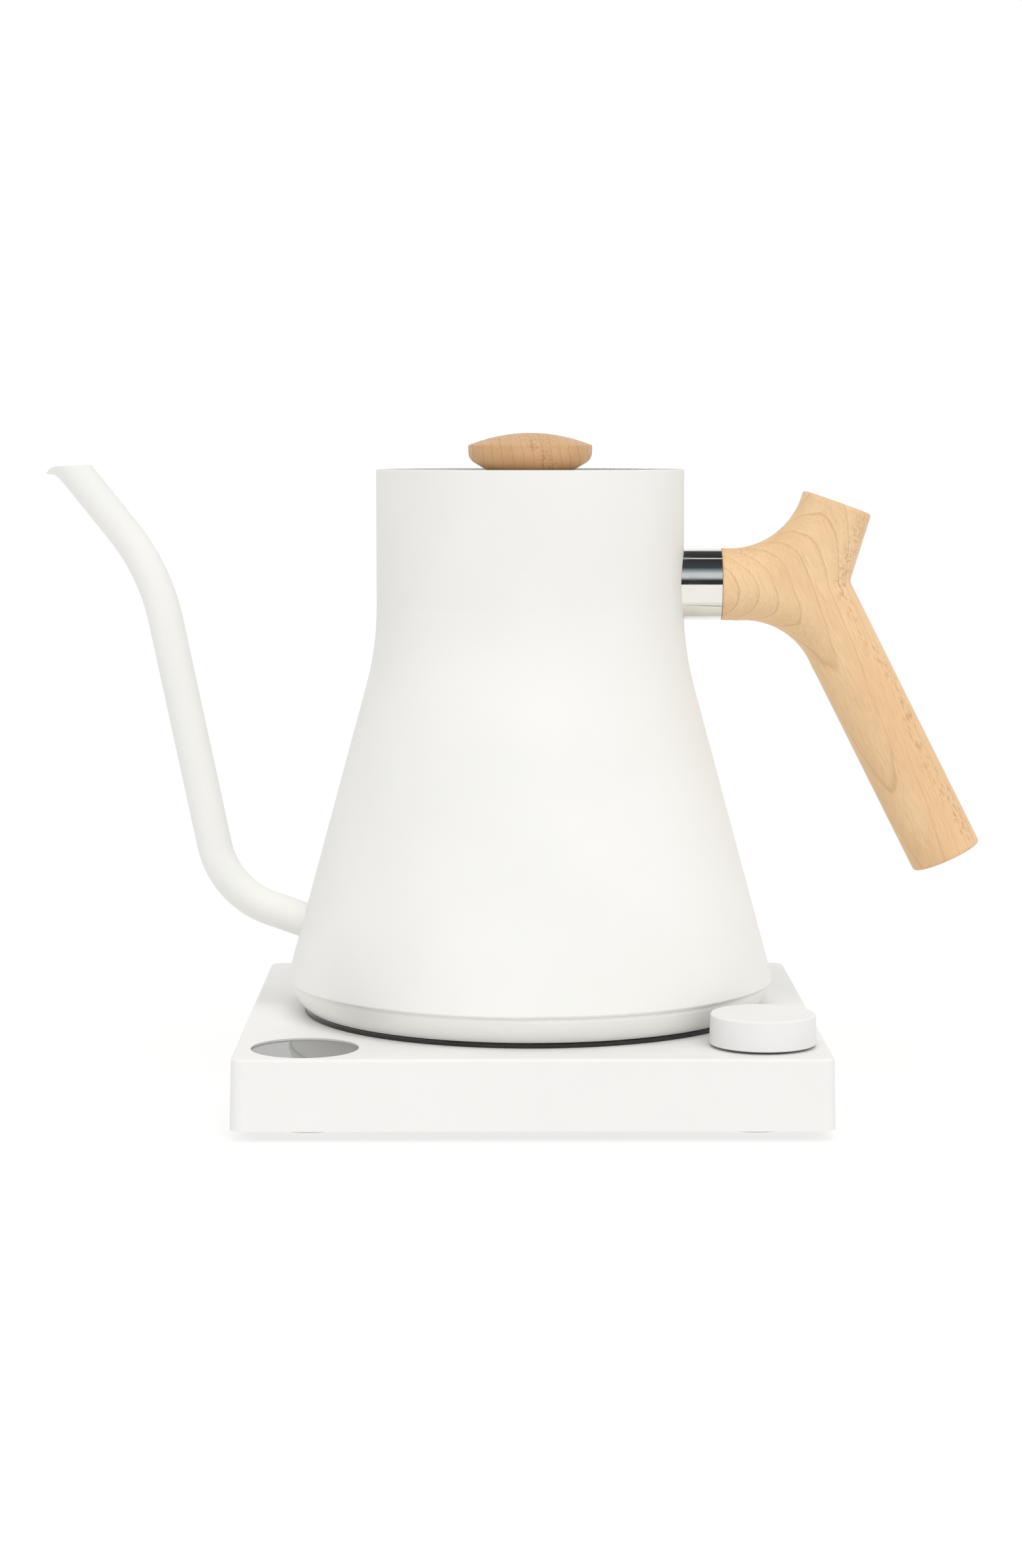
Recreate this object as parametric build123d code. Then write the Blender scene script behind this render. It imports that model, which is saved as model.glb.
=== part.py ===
"""Cordless electric gooseneck kettle on a square powered base, with wooden handle and lid knob.

Millimetres, +Z up. The table is z = 0. X runs from the spout tip (-X) to the handle (+X), and
the display and the dial are on the -Y side of the base. Everything is drawn about the kettle's
own upright axis, then moved by AXIS_X so that the origin lies midway between the spout's lip
and the end of the grip.
"""
from build123d import *
import math
import os

# ---------------------------------------------------------------- driving dimensions
AXIS_X = 5.0                 # the kettle's axis, measured from the origin

# base
BASE_W = 174.6               # square footprint
BASE_CORNER_R = 4.0          # upright corners
BASE_EDGE_R = 0.9            # top edge
BASE_BOTTOM = 3.3            # underside of the housing, which is the height of the feet
BASE_TOP = 24.2              # top face of the housing
BASE_WALL = 2.4
BASE_ROOF = 3.0              # thickness of the top
BASE_DRAFT = 0.5             # how much wider the housing is at the bottom, on each side
COVER_T = 2.2
COVER_RISE = 0.2             # the bottom cover sits this far up inside the walls
FOOT_R, FOOT_AT, FOOT_SINK = 9.6, 65.5, 0.9
SCREW_X, SCREW_Y = 78.6, 38.0
DOCK_R, DOCK_RISE, DOCK_SINK = 70.0, 1.5, 0.8
DISPLAY_X, DISPLAY_Y, DISPLAY_R = -66.4, -68.6, 15.8
LENS_SINK, LENS_T = 0.5, 1.6
DIAL_X, DIAL_Y = 67.6, -65.4
DIAL_R_BOTTOM, DIAL_R_TOP, DIAL_H = 15.7, 15.4, 8.9
DIAL_GAP, DIAL_TRAVEL = 0.8, 0.5
REAR_FITTINGS_Z = 13.4       # height of the cord inlet and of the switch
INLET_X, INLET_R = -52.0, 3.4
SWITCH_X, SWITCH_TRAVEL = 52.0, 4.0

# kettle, heights above the base's top face
WALL = 0.9                   # sheet steel
RIM_Z, NECK_R = 167.6, 47.4
NECK_CORNER_Z = 113.2        # where the neck's and the cone's straight lines would meet
NECK_BLEND_R = 95.0
CONE_SLOPE = 0.273           # growth of radius for each millimetre down
SEAM_Z = 9.6                 # lower edge of the steel body
SEAM_INNER_R = 73.3
FLOOR_Z, FLOOR_T = 19.0, 1.0
SEAM_GAP = 0.1
SEAM_EDGE_R = 0.6            # rounding of the steel body's lower edge
KETTLE_BOTTOM = 1.6          # the kettle's underside, just over the dock plate
SKIRT_R, SKIRT_BOTTOM_R = 74.45, 69.9
SKIRT_BAND_Z = 8.2           # the skirt is upright from the seam down to here
SKIRT_BULGE = (72.9, 4.9)    # a point of its rounded side, radius and height
SKIRT_INNER_R = 69.6
SPIGOT_R, SPIGOT_Z = 72.6, 13.5  # the part of the skirt that stands inside the body

# spout, centre line in the XZ plane, heights above the base's top face
SPOUT_R, SPOUT_WALL = 5.35, 0.8
SPOUT_ROOT = (-60.0, 24.0)
SPOUT_LOW_BEND = (-95.15, 36.3)
SPOUT_HIGH_BEND = (-115.8, 136.5)
SPOUT_END = (-139.45, 166.25)  # the lip goes on from here
SPOUT_LOW_R, SPOUT_HIGH_R = 27.0, 66.0
SPOUT_TOP_Z = 168.9
LIP_SECTIONS = ((0.0, 0.0), (2.2, 0.25), (4.4, 1.2), (6.2, 2.6))   # distance on, reach in front

# handle, in the XZ plane, heights above the base's top face
HANDLE_R = 11.1
HANDLE_Z = 132.2             # height of the ferrule and of the point where the limbs meet
FORK_X = 86.9
FERRULE_END_X, FERRULE_R = 58.8, 11.0
GRIP_END = (129.85, 47.67)
GRIP_CUT_DEG = 25.2
HORN_END = (94.7, 157.4)
HORN_CUT_DEG = 19.6
HANDLE_FILLET_R = 23.0       # hollow curves above and below the neck of the handle
HANDLE_EDGE_R = 0.9

# lid
LID_DROP = 1.1               # lid's top face below the rim
LID_R, LID_CUP_R, LID_CUP_DEPTH = 46.1, 45.3, 16.0
KNOB_R, KNOB_FOOT_R, KNOB_TOP_Z = 19.1, 13.0, 178.7
KNOB_EDGE_Z, KNOB_SIDE_Z = 175.1, 172.0

UP = BASE_TOP                # adds the base's height to a height above its top face


# ---------------------------------------------------------------- small helpers
def rod(r, z0, z1, x=0.0, y=0.0):
    """Upright cylinder between two heights."""
    return Pos(x, y, (z0 + z1) / 2) * Cylinder(r, z1 - z0)


def ring(outer, inner, z0, z1, x=0.0, y=0.0):
    return rod(outer, z0, z1, x, y) - rod(inner, z0 - 1, z1 + 1, x, y)


def slab(x0, x1, y0, y1, z0, z1):
    """Box between two corners."""
    return Pos((x0 + x1) / 2, (y0 + y1) / 2, (z0 + z1) / 2) * Box(x1 - x0, y1 - y0, z1 - z0)


def bar_x(r, x0, x1, z, y=0.0):
    """Cylinder lying along X."""
    return Pos((x0 + x1) / 2, y, z) * Rot(0, 90, 0) * Cylinder(r, x1 - x0)


def bar_y(r, y0, y1, x, z):
    """Cylinder lying along Y."""
    return Pos(x, (y0 + y1) / 2, z) * Rot(90, 0, 0) * Cylinder(r, y1 - y0)


def turned(*curves):
    """Solid turned about Z from curves drawn as (radius, height), which together close an outline."""
    face = make_face(Plane.XZ * Curve(curves))
    return revolve(face, Axis.Z)


def turned_polygon(*points):
    return turned(*Polyline(*points, close=True).edges())


def together(*solids):
    """Several separate solids kept in one node."""
    return Compound([s for part in solids for s in part.solids()])


def around(count, radius, start_deg=0.0):
    """Points evenly spaced on a circle."""
    for i in range(count):
        angle = math.radians(start_deg + 360.0 * i / count)
        yield radius * math.cos(angle), radius * math.sin(angle)


def corners(x, y):
    for sx in (-1, 1):
        for sy in (-1, 1):
            yield sx * x, sy * y


def pan_screw(x, y, z_head, head_r, head_h, shank_r, length):
    """Pan-head screw with a cross recess, head down, shank pointing up."""
    head = rod(head_r, z_head, z_head + head_h, x, y)
    shank = rod(shank_r, z_head + head_h, z_head + head_h + length, x, y)
    slot_w, slot_l, slot_d = 0.5 * shank_r, 1.2 * head_r, 0.6 * head_h
    cross = slab(x - slot_l / 2, x + slot_l / 2, y - slot_w / 2, y + slot_w / 2,
                 z_head - 1, z_head + slot_d)
    cross += slab(x - slot_w / 2, x + slot_w / 2, y - slot_l / 2, y + slot_l / 2,
                  z_head - 1, z_head + slot_d)
    return head + shank - cross


# ---------------------------------------------------------------- base: shell and what closes it
ROOF_Z = BASE_TOP - BASE_ROOF            # underside of the top
COVER_Z = BASE_BOTTOM + COVER_RISE
COVER_TOP = COVER_Z + COVER_T
INNER_HALF = BASE_W / 2 - BASE_WALL
BOSS_R, PILOT_R = 4.0, 1.35
SCREW_HEAD_R, SCREW_HEAD_H = 2.8, 1.2
BUSH_R, BUSH_HOLE_R = 3.5, 3.7
SOCKET_R, SOCKET_FLANGE_R = 16.0, 22.0
SWITCH_SLOT_W, SWITCH_SLOT_H, SWITCH_NUB_W = 9.0, 4.0, 4.0
GLAND_NECK_R, GLAND_FLANGE_R = 5.6, 7.4


def base_block(half, z0, z1, corner_r, draft=0.0):
    """Square prism with rounded upright corners, wider at the bottom by the draft."""
    bottom = Plane.XY.offset(z0) * RectangleRounded(2 * half, 2 * half, corner_r)
    top_side = 2 * (half - draft)
    top = Plane.XY.offset(z1) * RectangleRounded(top_side, top_side, corner_r)
    return loft([bottom, top])


def base_housing():
    half = BASE_W / 2
    body = base_block(half, BASE_BOTTOM, BASE_TOP, BASE_CORNER_R, BASE_DRAFT)
    body = fillet(body.faces().sort_by(Axis.Z)[-1].edges(), BASE_EDGE_R)
    inside_r = BASE_CORNER_R - BASE_WALL + 0.4
    body -= base_block(INNER_HALF, BASE_BOTTOM - 1, ROOF_Z, inside_r, BASE_DRAFT)
    body -= rod(DOCK_R + 0.1, BASE_TOP - DOCK_SINK, BASE_TOP + 1)
    body -= rod(SOCKET_R + 0.6, ROOF_Z - 1, BASE_TOP + 1)
    lens_seat = BASE_TOP - LENS_SINK - LENS_T
    body -= rod(DISPLAY_R, lens_seat, BASE_TOP + 1, DISPLAY_X, DISPLAY_Y)
    body -= rod(DISPLAY_R - 1.6, ROOF_Z - 1, BASE_TOP, DISPLAY_X, DISPLAY_Y)
    body -= rod(BUSH_HOLE_R, ROOF_Z - 1, BASE_TOP + 1, DIAL_X, DIAL_Y)
    body -= bar_y(GLAND_NECK_R, INNER_HALF - 2, half + 1, INLET_X, REAR_FITTINGS_Z)
    body -= slab(SWITCH_X - SWITCH_SLOT_W / 2, SWITCH_X + SWITCH_SLOT_W / 2,
                 INNER_HALF - 2, half + 1,
                 REAR_FITTINGS_Z - SWITCH_SLOT_H / 2, REAR_FITTINGS_Z + SWITCH_SLOT_H / 2)
    for x, y in corners(SCREW_X, SCREW_Y):
        body += rod(BOSS_R, COVER_TOP, ROOF_Z, x, y)
        body -= rod(PILOT_R, COVER_TOP - 1, COVER_TOP + 11, x, y)
    return body


def base_cover():
    plate = base_block(INNER_HALF - 0.2, COVER_Z, COVER_TOP, 2.0)
    for x, y in corners(FOOT_AT, FOOT_AT):
        plate -= rod(FOOT_R, COVER_Z - 1, COVER_Z + FOOT_SINK, x, y)
    for x, y in corners(SCREW_X, SCREW_Y):
        plate -= rod(SCREW_HEAD_R + 0.3, COVER_Z - 1, COVER_Z + SCREW_HEAD_H + 0.05, x, y)
        plate -= rod(PILOT_R + 0.3, COVER_Z - 1, COVER_TOP + 1, x, y)
    vent_w, vent_l, vents, pitch = 1.6, 26.0, 7, 4.4
    for i in range(vents):
        x = (i - (vents - 1) / 2) * pitch
        plate -= slab(x - vent_w / 2, x + vent_w / 2, -vent_l / 2, vent_l / 2, COVER_Z - 1, COVER_TOP + 1)
    return plate


def rubber_feet():
    feet = []
    for x, y in corners(FOOT_AT, FOOT_AT):
        foot = Pos(x, y, 0) * Cylinder(FOOT_R - 0.1, COVER_Z + FOOT_SINK,
                                       align=(Align.CENTER, Align.CENTER, Align.MIN))
        feet.append(chamfer(foot.edges().group_by(Axis.Z)[0], 0.7))
    return together(*feet)


def base_screws():
    return together(*(pan_screw(x, y, COVER_Z + 0.05, SCREW_HEAD_R, SCREW_HEAD_H, PILOT_R - 0.05, 9.0)
                      for x, y in corners(SCREW_X, SCREW_Y)))


def dock_plate():
    plate = rod(DOCK_R, BASE_TOP - DOCK_SINK, UP + DOCK_RISE)
    plate = fillet(plate.edges().group_by(Axis.Z)[-1], 0.4)
    return plate - rod(SOCKET_R + 0.4, BASE_TOP - 5, UP + DOCK_RISE + 1)


# ---------------------------------------------------------------- base: 360 degree power connector
GROOVES = ((5.4, 7.6), (10.4, 12.6))     # annular slots, inner and outer radius
PIN_HOLE_R = 2.6
SOCKET_TOP = UP + 11.0
GROOVE_FLOOR = UP - 5.0
SOCKET_FOOT = ROOF_Z - 8.4
CONTACT_T = 2.0


def power_socket():
    body = rod(SOCKET_FLANGE_R, SOCKET_FOOT, ROOF_Z) + rod(SOCKET_R, SOCKET_FOOT, SOCKET_TOP)
    body = fillet(body.edges().group_by(Axis.Z)[-1], 1.0)
    for inner, outer in GROOVES:
        body -= ring(outer, inner, GROOVE_FLOOR, SOCKET_TOP + 0.5)
    return body - rod(PIN_HOLE_R, GROOVE_FLOOR, SOCKET_TOP + 1)


def socket_contacts():
    rings = [ring(outer - 0.2, inner + 0.2, GROOVE_FLOOR, GROOVE_FLOOR + CONTACT_T)
             for inner, outer in GROOVES]
    return together(*rings, rod(PIN_HOLE_R - 0.3, GROOVE_FLOOR, GROOVE_FLOOR + CONTACT_T))


# ---------------------------------------------------------------- base: electronics
BOARD_T = 1.6
MAIN_BOARD_Z = 7.6
MAIN_BOARD_TOP = MAIN_BOARD_Z + BOARD_T
LCD_R = DISPLAY_R - 1.9
LCD_TOP = BASE_TOP - LENS_SINK - LENS_T - 0.1
LCD_T = 2.2
ENCODER_BOARD_Z = 12.0
ENCODER_BODY_Z = ENCODER_BOARD_Z + BOARD_T
ENCODER_BODY_TOP = 19.4
ENCODER_SIDE = 13.0


def main_board():
    return slab(-62, 62, -46, 64, MAIN_BOARD_Z, MAIN_BOARD_TOP)


def board_posts():
    middle_y = 9.0
    return together(*(rod(2.6, COVER_TOP, MAIN_BOARD_Z, x, middle_y + y) for x, y in corners(56, 49)))


def power_relay():
    body = slab(-52, -31, 30, 46, MAIN_BOARD_TOP, MAIN_BOARD_TOP + 9.4)
    return fillet(body.edges().group_by(Axis.Z)[-1], 0.6)


def supply_module():
    core = slab(-12, 14, 38, 56, MAIN_BOARD_TOP, MAIN_BOARD_TOP + 8.5)
    return chamfer(core.edges().group_by(Axis.Z)[-1], 0.8)


def terminal_block():
    body = slab(26, 46, 46, 56, MAIN_BOARD_TOP, MAIN_BOARD_TOP + 8.0)
    for i in range(3):
        x = 29.5 + 6.5 * i
        body -= rod(1.6, MAIN_BOARD_TOP + 4, MAIN_BOARD_TOP + 9, x, 51)
        body -= slab(x - 1.6, x + 1.6, 45, 48, MAIN_BOARD_TOP + 1.5, MAIN_BOARD_TOP + 4.7)
    return body


def display_lens():
    z1 = BASE_TOP - LENS_SINK
    lens = rod(DISPLAY_R - 0.05, z1 - LENS_T, z1, DISPLAY_X, DISPLAY_Y)
    return chamfer(lens.edges().group_by(Axis.Z)[-1], 0.15)


def lcd_panel():
    return rod(LCD_R, LCD_TOP - LCD_T, LCD_TOP, DISPLAY_X, DISPLAY_Y)


def display_board():
    z1 = LCD_TOP - LCD_T
    half = 16.0
    board = slab(DISPLAY_X - half, DISPLAY_X + half, DISPLAY_Y - 15.0, DISPLAY_Y + half,
                 z1 - BOARD_T, z1)
    return fillet(board.edges().filter_by(Axis.Z), 3.0)


def encoder_board():
    half = 14.0
    return slab(DIAL_X - half, DIAL_X + half, DIAL_Y - half, DIAL_Y + half,
                ENCODER_BOARD_Z, ENCODER_BODY_Z)


# ---------------------------------------------------------------- base: dial and its encoder
SHAFT_R, SHAFT_FLAT = 2.0, 1.4
ROTOR_SLEEVE_R, ROTOR_R = 2.9, 4.8
DIAL_Z = UP + DIAL_GAP
DIAL_TOP = DIAL_Z + DIAL_H
RUN = 0.1                                # running clearance in the encoder


def encoder_body():
    half = ENCODER_SIDE / 2
    body = slab(DIAL_X - half, DIAL_X + half, DIAL_Y - half, DIAL_Y + half,
                ENCODER_BODY_Z, ENCODER_BODY_TOP)
    body += rod(BUSH_R, ENCODER_BODY_TOP, BASE_TOP + 0.3, DIAL_X, DIAL_Y)
    body -= rod(ROTOR_R + 0.3, ENCODER_BODY_Z + 1.0, ENCODER_BODY_TOP - 1.0, DIAL_X, DIAL_Y)
    return body - rod(ROTOR_SLEEVE_R + RUN, ENCODER_BODY_Z + 1.0, BASE_TOP + 1, DIAL_X, DIAL_Y)


def flatted_rod(r, flat, z0, z1):
    """Round shaft with one flat, for carrying torque."""
    return rod(r, z0, z1, DIAL_X, DIAL_Y) - slab(DIAL_X + flat, DIAL_X + r + 1, DIAL_Y - r - 1,
                                                 DIAL_Y + r + 1, z0 - 1, z1 + 1)


def encoder_rotor():
    """Contact wheel and sleeve. It turns with the shaft, and the shaft slides through it."""
    wheel_z0, wheel_z1 = ENCODER_BODY_Z + 1.6, ENCODER_BODY_TOP - 1.6
    rotor = rod(ROTOR_R, wheel_z0, wheel_z1, DIAL_X, DIAL_Y)
    rotor += rod(ROTOR_SLEEVE_R, wheel_z0, BASE_TOP, DIAL_X, DIAL_Y)
    return rotor - flatted_rod(SHAFT_R + RUN, SHAFT_FLAT + RUN, wheel_z0 - 1, BASE_TOP + 1)


def encoder_shaft():
    return flatted_rod(SHAFT_R, SHAFT_FLAT, ENCODER_BODY_Z + 1.0 + DIAL_TRAVEL + 0.05, DIAL_TOP - 2.6)


def control_dial():
    """Push dial: a drafted cap with a hub that grips the shaft."""
    cap = Pos(DIAL_X, DIAL_Y, DIAL_Z) * Cone(DIAL_R_BOTTOM, DIAL_R_TOP, DIAL_H,
                                            align=(Align.CENTER, Align.CENTER, Align.MIN))
    cap = fillet(cap.edges().group_by(Axis.Z)[-1], 0.7)
    cap = chamfer(cap.edges().group_by(Axis.Z)[0], 0.25)
    cap -= rod(DIAL_R_TOP - 2.2, DIAL_Z - 1, DIAL_TOP - 2.4, DIAL_X, DIAL_Y)
    cap += rod(4.4, DIAL_Z + 0.8, DIAL_TOP - 2.4, DIAL_X, DIAL_Y)
    return cap - flatted_rod(SHAFT_R, SHAFT_FLAT, DIAL_Z - 1, DIAL_TOP - 2.6)


# ---------------------------------------------------------------- base: rear fittings
def cord_gland():
    """Grommet that the mains lead comes in through; its outer face is flush with the wall."""
    outside, inside = BASE_W / 2 - BASE_DRAFT / 2, INNER_HALF - 4.3
    gland = bar_y(GLAND_NECK_R - 0.05, inside, outside, INLET_X, REAR_FITTINGS_Z)
    gland += bar_y(GLAND_FLANGE_R, inside, INNER_HALF - BASE_DRAFT - 0.1, INLET_X, REAR_FITTINGS_Z)
    return gland - bar_y(INLET_R, inside - 1, outside + 1, INLET_X, REAR_FITTINGS_Z)


SWITCH_BODY_Y0, SWITCH_BODY_Y1 = INNER_HALF - 8.0, INNER_HALF - 0.7


def switch_body():
    """Slide switch behind the rear wall, open towards the wall."""
    z0, z1 = REAR_FITTINGS_Z - 4.0, REAR_FITTINGS_Z + 4.0
    body = slab(SWITCH_X - 8, SWITCH_X + 8, SWITCH_BODY_Y0, SWITCH_BODY_Y1, z0, z1)
    return body - slab(SWITCH_X - 6.2, SWITCH_X + 6.2, SWITCH_BODY_Y1 - 3.0, SWITCH_BODY_Y1 + 1,
                       z0 + 1.6, z1 - 1.6)


def switch_slider():
    """Nub with upright grooves that shows in the slot, on a wider carriage.

    It rests at the -X end of its travel."""
    x = SWITCH_X - SWITCH_TRAVEL / 2
    carriage = slab(x - 3.8, x + 3.8, SWITCH_BODY_Y1 - 2.7, SWITCH_BODY_Y1 - 0.3,
                    REAR_FITTINGS_Z - 2.1, REAR_FITTINGS_Z + 2.1)
    half = SWITCH_NUB_W / 2
    nub = slab(x - half, x + half, SWITCH_BODY_Y1 - 0.3, BASE_W / 2 - 0.4,
               REAR_FITTINGS_Z - 1.6, REAR_FITTINGS_Z + 1.6)
    for i in (-1, 0, 1):
        nub -= rod(0.28, REAR_FITTINGS_Z - 3, REAR_FITTINGS_Z + 3, x + 1.1 * i, BASE_W / 2 - 0.4)
    return carriage + nub


# ---------------------------------------------------------------- kettle: steel body
def cone_r(z, inset=0.0):
    """Radius of the cone at a height above the base's top, moved inwards by a sheet thickness."""
    return NECK_R + (NECK_CORNER_Z - z) * CONE_SLOPE - inset * math.hypot(1, CONE_SLOPE)


def corner_z(inset):
    """Height where the neck's line and the cone's line meet, both moved inwards."""
    return NECK_CORNER_Z - inset * (math.hypot(1, CONE_SLOPE) - 1) / CONE_SLOPE


def body_solid(inset, z_bottom, z_top):
    """The body's form as a full solid, its side moved inwards from the outer skin."""
    r_top, z_mid = NECK_R - inset, corner_z(inset)
    side = FilletPolyline((r_top, UP + z_top), (r_top, UP + z_mid),
                          (cone_r(z_bottom, inset), UP + z_bottom), radius=NECK_BLEND_R + inset)
    rest = Polyline((cone_r(z_bottom, inset), UP + z_bottom), (0, UP + z_bottom),
                    (0, UP + z_top), (r_top, UP + z_top))
    return turned(*side.edges(), *rest.edges())


def outer_form():
    form = body_solid(0.0, SEAM_Z, RIM_Z)
    return fillet(form.edges().group_by(Axis.Z)[0], SEAM_EDGE_R)


def cavity():
    """Everything inside the steel skin, open at the mouth and at the seam."""
    return body_solid(WALL, SEAM_Z + 1.2, RIM_Z + 5) + rod(SEAM_INNER_R, UP + SEAM_Z - 5, UP + SEAM_Z + 1.3)


def spout_path():
    points = [(x, 0, UP + z) for x, z in (SPOUT_ROOT, SPOUT_LOW_BEND, SPOUT_HIGH_BEND, SPOUT_END)]
    return FilletPolyline(*points, radius=[SPOUT_LOW_R, SPOUT_HIGH_R])


def spout_form(r):
    """Round rod along the spout's line, ending in the pouring lip."""
    path = spout_path()
    start = Plane(origin=path @ 0, z_dir=path % 0)
    return sweep(start * Circle(r), path) + lip_form(r)


def lip_form(r):
    """Goes on from the rod's end with oval sections that lean out further and further in front."""
    path = spout_path()
    along = path % 1
    front = Vector(-along.Z, 0, along.X)
    sections = []
    for distance, lean in LIP_SECTIONS:
        centre = (path @ 1) + along * distance + front * (lean / 2)
        sections.append(Plane(origin=centre, x_dir=front, z_dir=along) * Ellipse(r + lean / 2, r))
    return loft(sections)


def kettle_shell():
    shell = outer_form() - cavity()
    shell = fillet(shell.edges().group_by(Axis.Z)[-1], 0.35)
    water_way = spout_form(SPOUT_R - SPOUT_WALL - 0.3) & slab(-80, -55, -10, 10, UP + 15, UP + 45)
    return shell - water_way


def kettle_floor():
    disc = cavity() & rod(90, UP + FLOOR_Z, UP + FLOOR_Z + FLOOR_T)
    return disc - rod(SENSOR_R + 0.1, UP + FLOOR_Z - 1, UP + FLOOR_Z + 3, *SENSOR_AT)


# ---------------------------------------------------------------- kettle: spout
def spout():
    tube = (spout_form(SPOUT_R) - outer_form()).solids().sort_by(SortBy.VOLUME)[-1]
    tube -= spout_form(SPOUT_R - SPOUT_WALL)
    return tube - slab(-170, -100, -20, 20, UP + SPOUT_TOP_Z, UP + SPOUT_TOP_Z + 30)


# ---------------------------------------------------------------- kettle: underside
POST_R, POST_AT = 3.2, 60.0
PLUG_R, PLUG_FLANGE_R = 20.5, 23.4
COVER_R, COVER_HOLE_R = SKIRT_BOTTOM_R - 1.1, 21.8
UNDER_T = 2.1                            # kettle_cover's thickness
UNDER_TOP = KETTLE_BOTTOM + UNDER_T
HEATER_T, HEATER_R = 3.0, 50.0
ELEMENT_R, ELEMENT_TUBE_R = 40.0, 3.3
SENSOR_AT, SENSOR_R, SENSOR_TIP = (0.0, 28.0), 2.6, 32.0


def skirt_ring():
    """Plastic band under the seam, tapering in to the underside, with a spigot inside the body."""
    top = UP + SEAM_Z - SEAM_GAP
    bottom, band, bulge = UP + KETTLE_BOTTOM, UP + SKIRT_BAND_Z, (SKIRT_BULGE[0], UP + SKIRT_BULGE[1])
    ledge, ledge_r = UP + UNDER_TOP + 0.1, COVER_R + 0.1
    outside = ThreePointArc((SKIRT_R, band), bulge, (SKIRT_BOTTOM_R, bottom))
    rest = Polyline((SKIRT_BOTTOM_R, bottom), (ledge_r, bottom), (ledge_r, ledge), (ledge_r - 1.3, ledge),
                    (SKIRT_INNER_R, band), (SKIRT_INNER_R, UP + SPIGOT_Z), (SPIGOT_R, UP + SPIGOT_Z),
                    (SPIGOT_R, top), (SKIRT_R, top), (SKIRT_R, band))
    return turned(outside, *rest.edges())


def kettle_cover():
    plate = ring(COVER_R, COVER_HOLE_R, UP + KETTLE_BOTTOM, UP + UNDER_TOP)
    for x, y in around(3, POST_AT, 30):
        plate -= rod(SCREW_HEAD_R + 0.3, UP + KETTLE_BOTTOM - 1, UP + KETTLE_BOTTOM + SCREW_HEAD_H + 0.05, x, y)
        plate -= rod(PILOT_R + 0.3, UP, UP + 5, x, y)
    return plate


def cover_posts():
    posts = []
    for x, y in around(3, POST_AT, 30):
        post = rod(POST_R, UP + UNDER_TOP, UP + FLOOR_Z, x, y)
        posts.append(post - rod(PILOT_R, UP, UP + 13, x, y))
    return together(*posts)


def cover_screws():
    return together(*(pan_screw(x, y, UP + KETTLE_BOTTOM + 0.05, SCREW_HEAD_R, SCREW_HEAD_H,
                                PILOT_R - 0.05, 7.5) for x, y in around(3, POST_AT, 30)))


def heater_plate():
    return rod(HEATER_R, UP + FLOOR_Z - HEATER_T, UP + FLOOR_Z) - rod(6.2, UP, UP + 30, *SENSOR_AT)


def heating_element():
    """Sheathed element: most of a ring, open towards -Y, where its cold ends are."""
    z = UP + FLOOR_Z - HEATER_T - ELEMENT_TUBE_R - 0.1
    section = Plane(origin=(ELEMENT_R, 0, z), z_dir=(0, 1, 0)) * Circle(ELEMENT_TUBE_R)
    return Rot(0, 0, -60) * revolve(section, Axis.Z, 300)


def temperature_sensor():
    probe = rod(SENSOR_R, UP + 13.0, UP + SENSOR_TIP, *SENSOR_AT)
    probe = fillet(probe.edges().group_by(Axis.Z)[-1], 1.6)
    return probe + rod(5.6, UP + 13.0, UP + FLOOR_Z - 1.6, *SENSOR_AT)


def sensor_seal():
    return ring(5.2, SENSOR_R, UP + FLOOR_Z - 1.6, UP + FLOOR_Z, *SENSOR_AT)


def kettle_plug():
    """Kettle half of the 360 degree connector: a round cup over the base's socket."""
    body = rod(PLUG_R, UP + 2.0, UP + 15.8)
    body += rod(PLUG_FLANGE_R, UP + UNDER_TOP + 0.3, UP + UNDER_TOP + 1.7)
    body = chamfer(body.edges().group_by(Axis.Z)[-1], 1.0)
    return body - rod(SOCKET_R + 0.8, UP, UP + 12.2)


def plug_contacts():
    top = UP + 12.2
    rings = [ring(outer - 0.4, inner + 0.4, UP - 0.5, top) for inner, outer in GROOVES]
    return together(*rings, rod(PIN_HOLE_R - 0.6, UP - 1.5, top))


# ---------------------------------------------------------------- kettle: handle
STUD_R, INSERT_R, INSERT_X0, INSERT_X1 = 3.0, 4.6, 60.0, 82.0
HANDLE_H = UP + HANDLE_Z
FORK = (FORK_X, HANDLE_Z)
WEB_HALF_T, WEB_EDGE_R = 10.4, 5.0


def toward(start, end, distance):
    """The point that lies so far from start on the way to end, in the handle's drawing."""
    dx, dz = end[0] - start[0], end[1] - start[1]
    run = math.hypot(dx, dz)
    return start[0] + dx * distance / run, start[1] + dz * distance / run


def limb(start, end):
    """Round rod between two points of the handle's drawing, (x, height above the base's top)."""
    a, b = Vector(start[0], 0, UP + start[1]), Vector(end[0], 0, UP + end[1])
    return extrude(Plane(origin=a, z_dir=b - a) * Circle(HANDLE_R), (b - a).length)


def cut_limb(end, degrees):
    """Limb from the fork to a slanting end face, which leans by so many degrees from level."""
    beyond = toward(FORK, end, math.dist(FORK, end) + 2 * HANDLE_R)
    side = 60.0
    outward = 1 if end[1] > FORK[1] else -1
    waste = Pos(0, 0, outward * side / 2) * Box(side, side, side)
    wood = limb(FORK, beyond) - Pos(end[0], 0, UP + end[1]) * Rot(0, outward * degrees, 0) * waste
    rim = wood.edges().sort_by_distance((end[0], 0, UP + end[1]))[0]
    return fillet(rim, HANDLE_EDGE_R)


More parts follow.
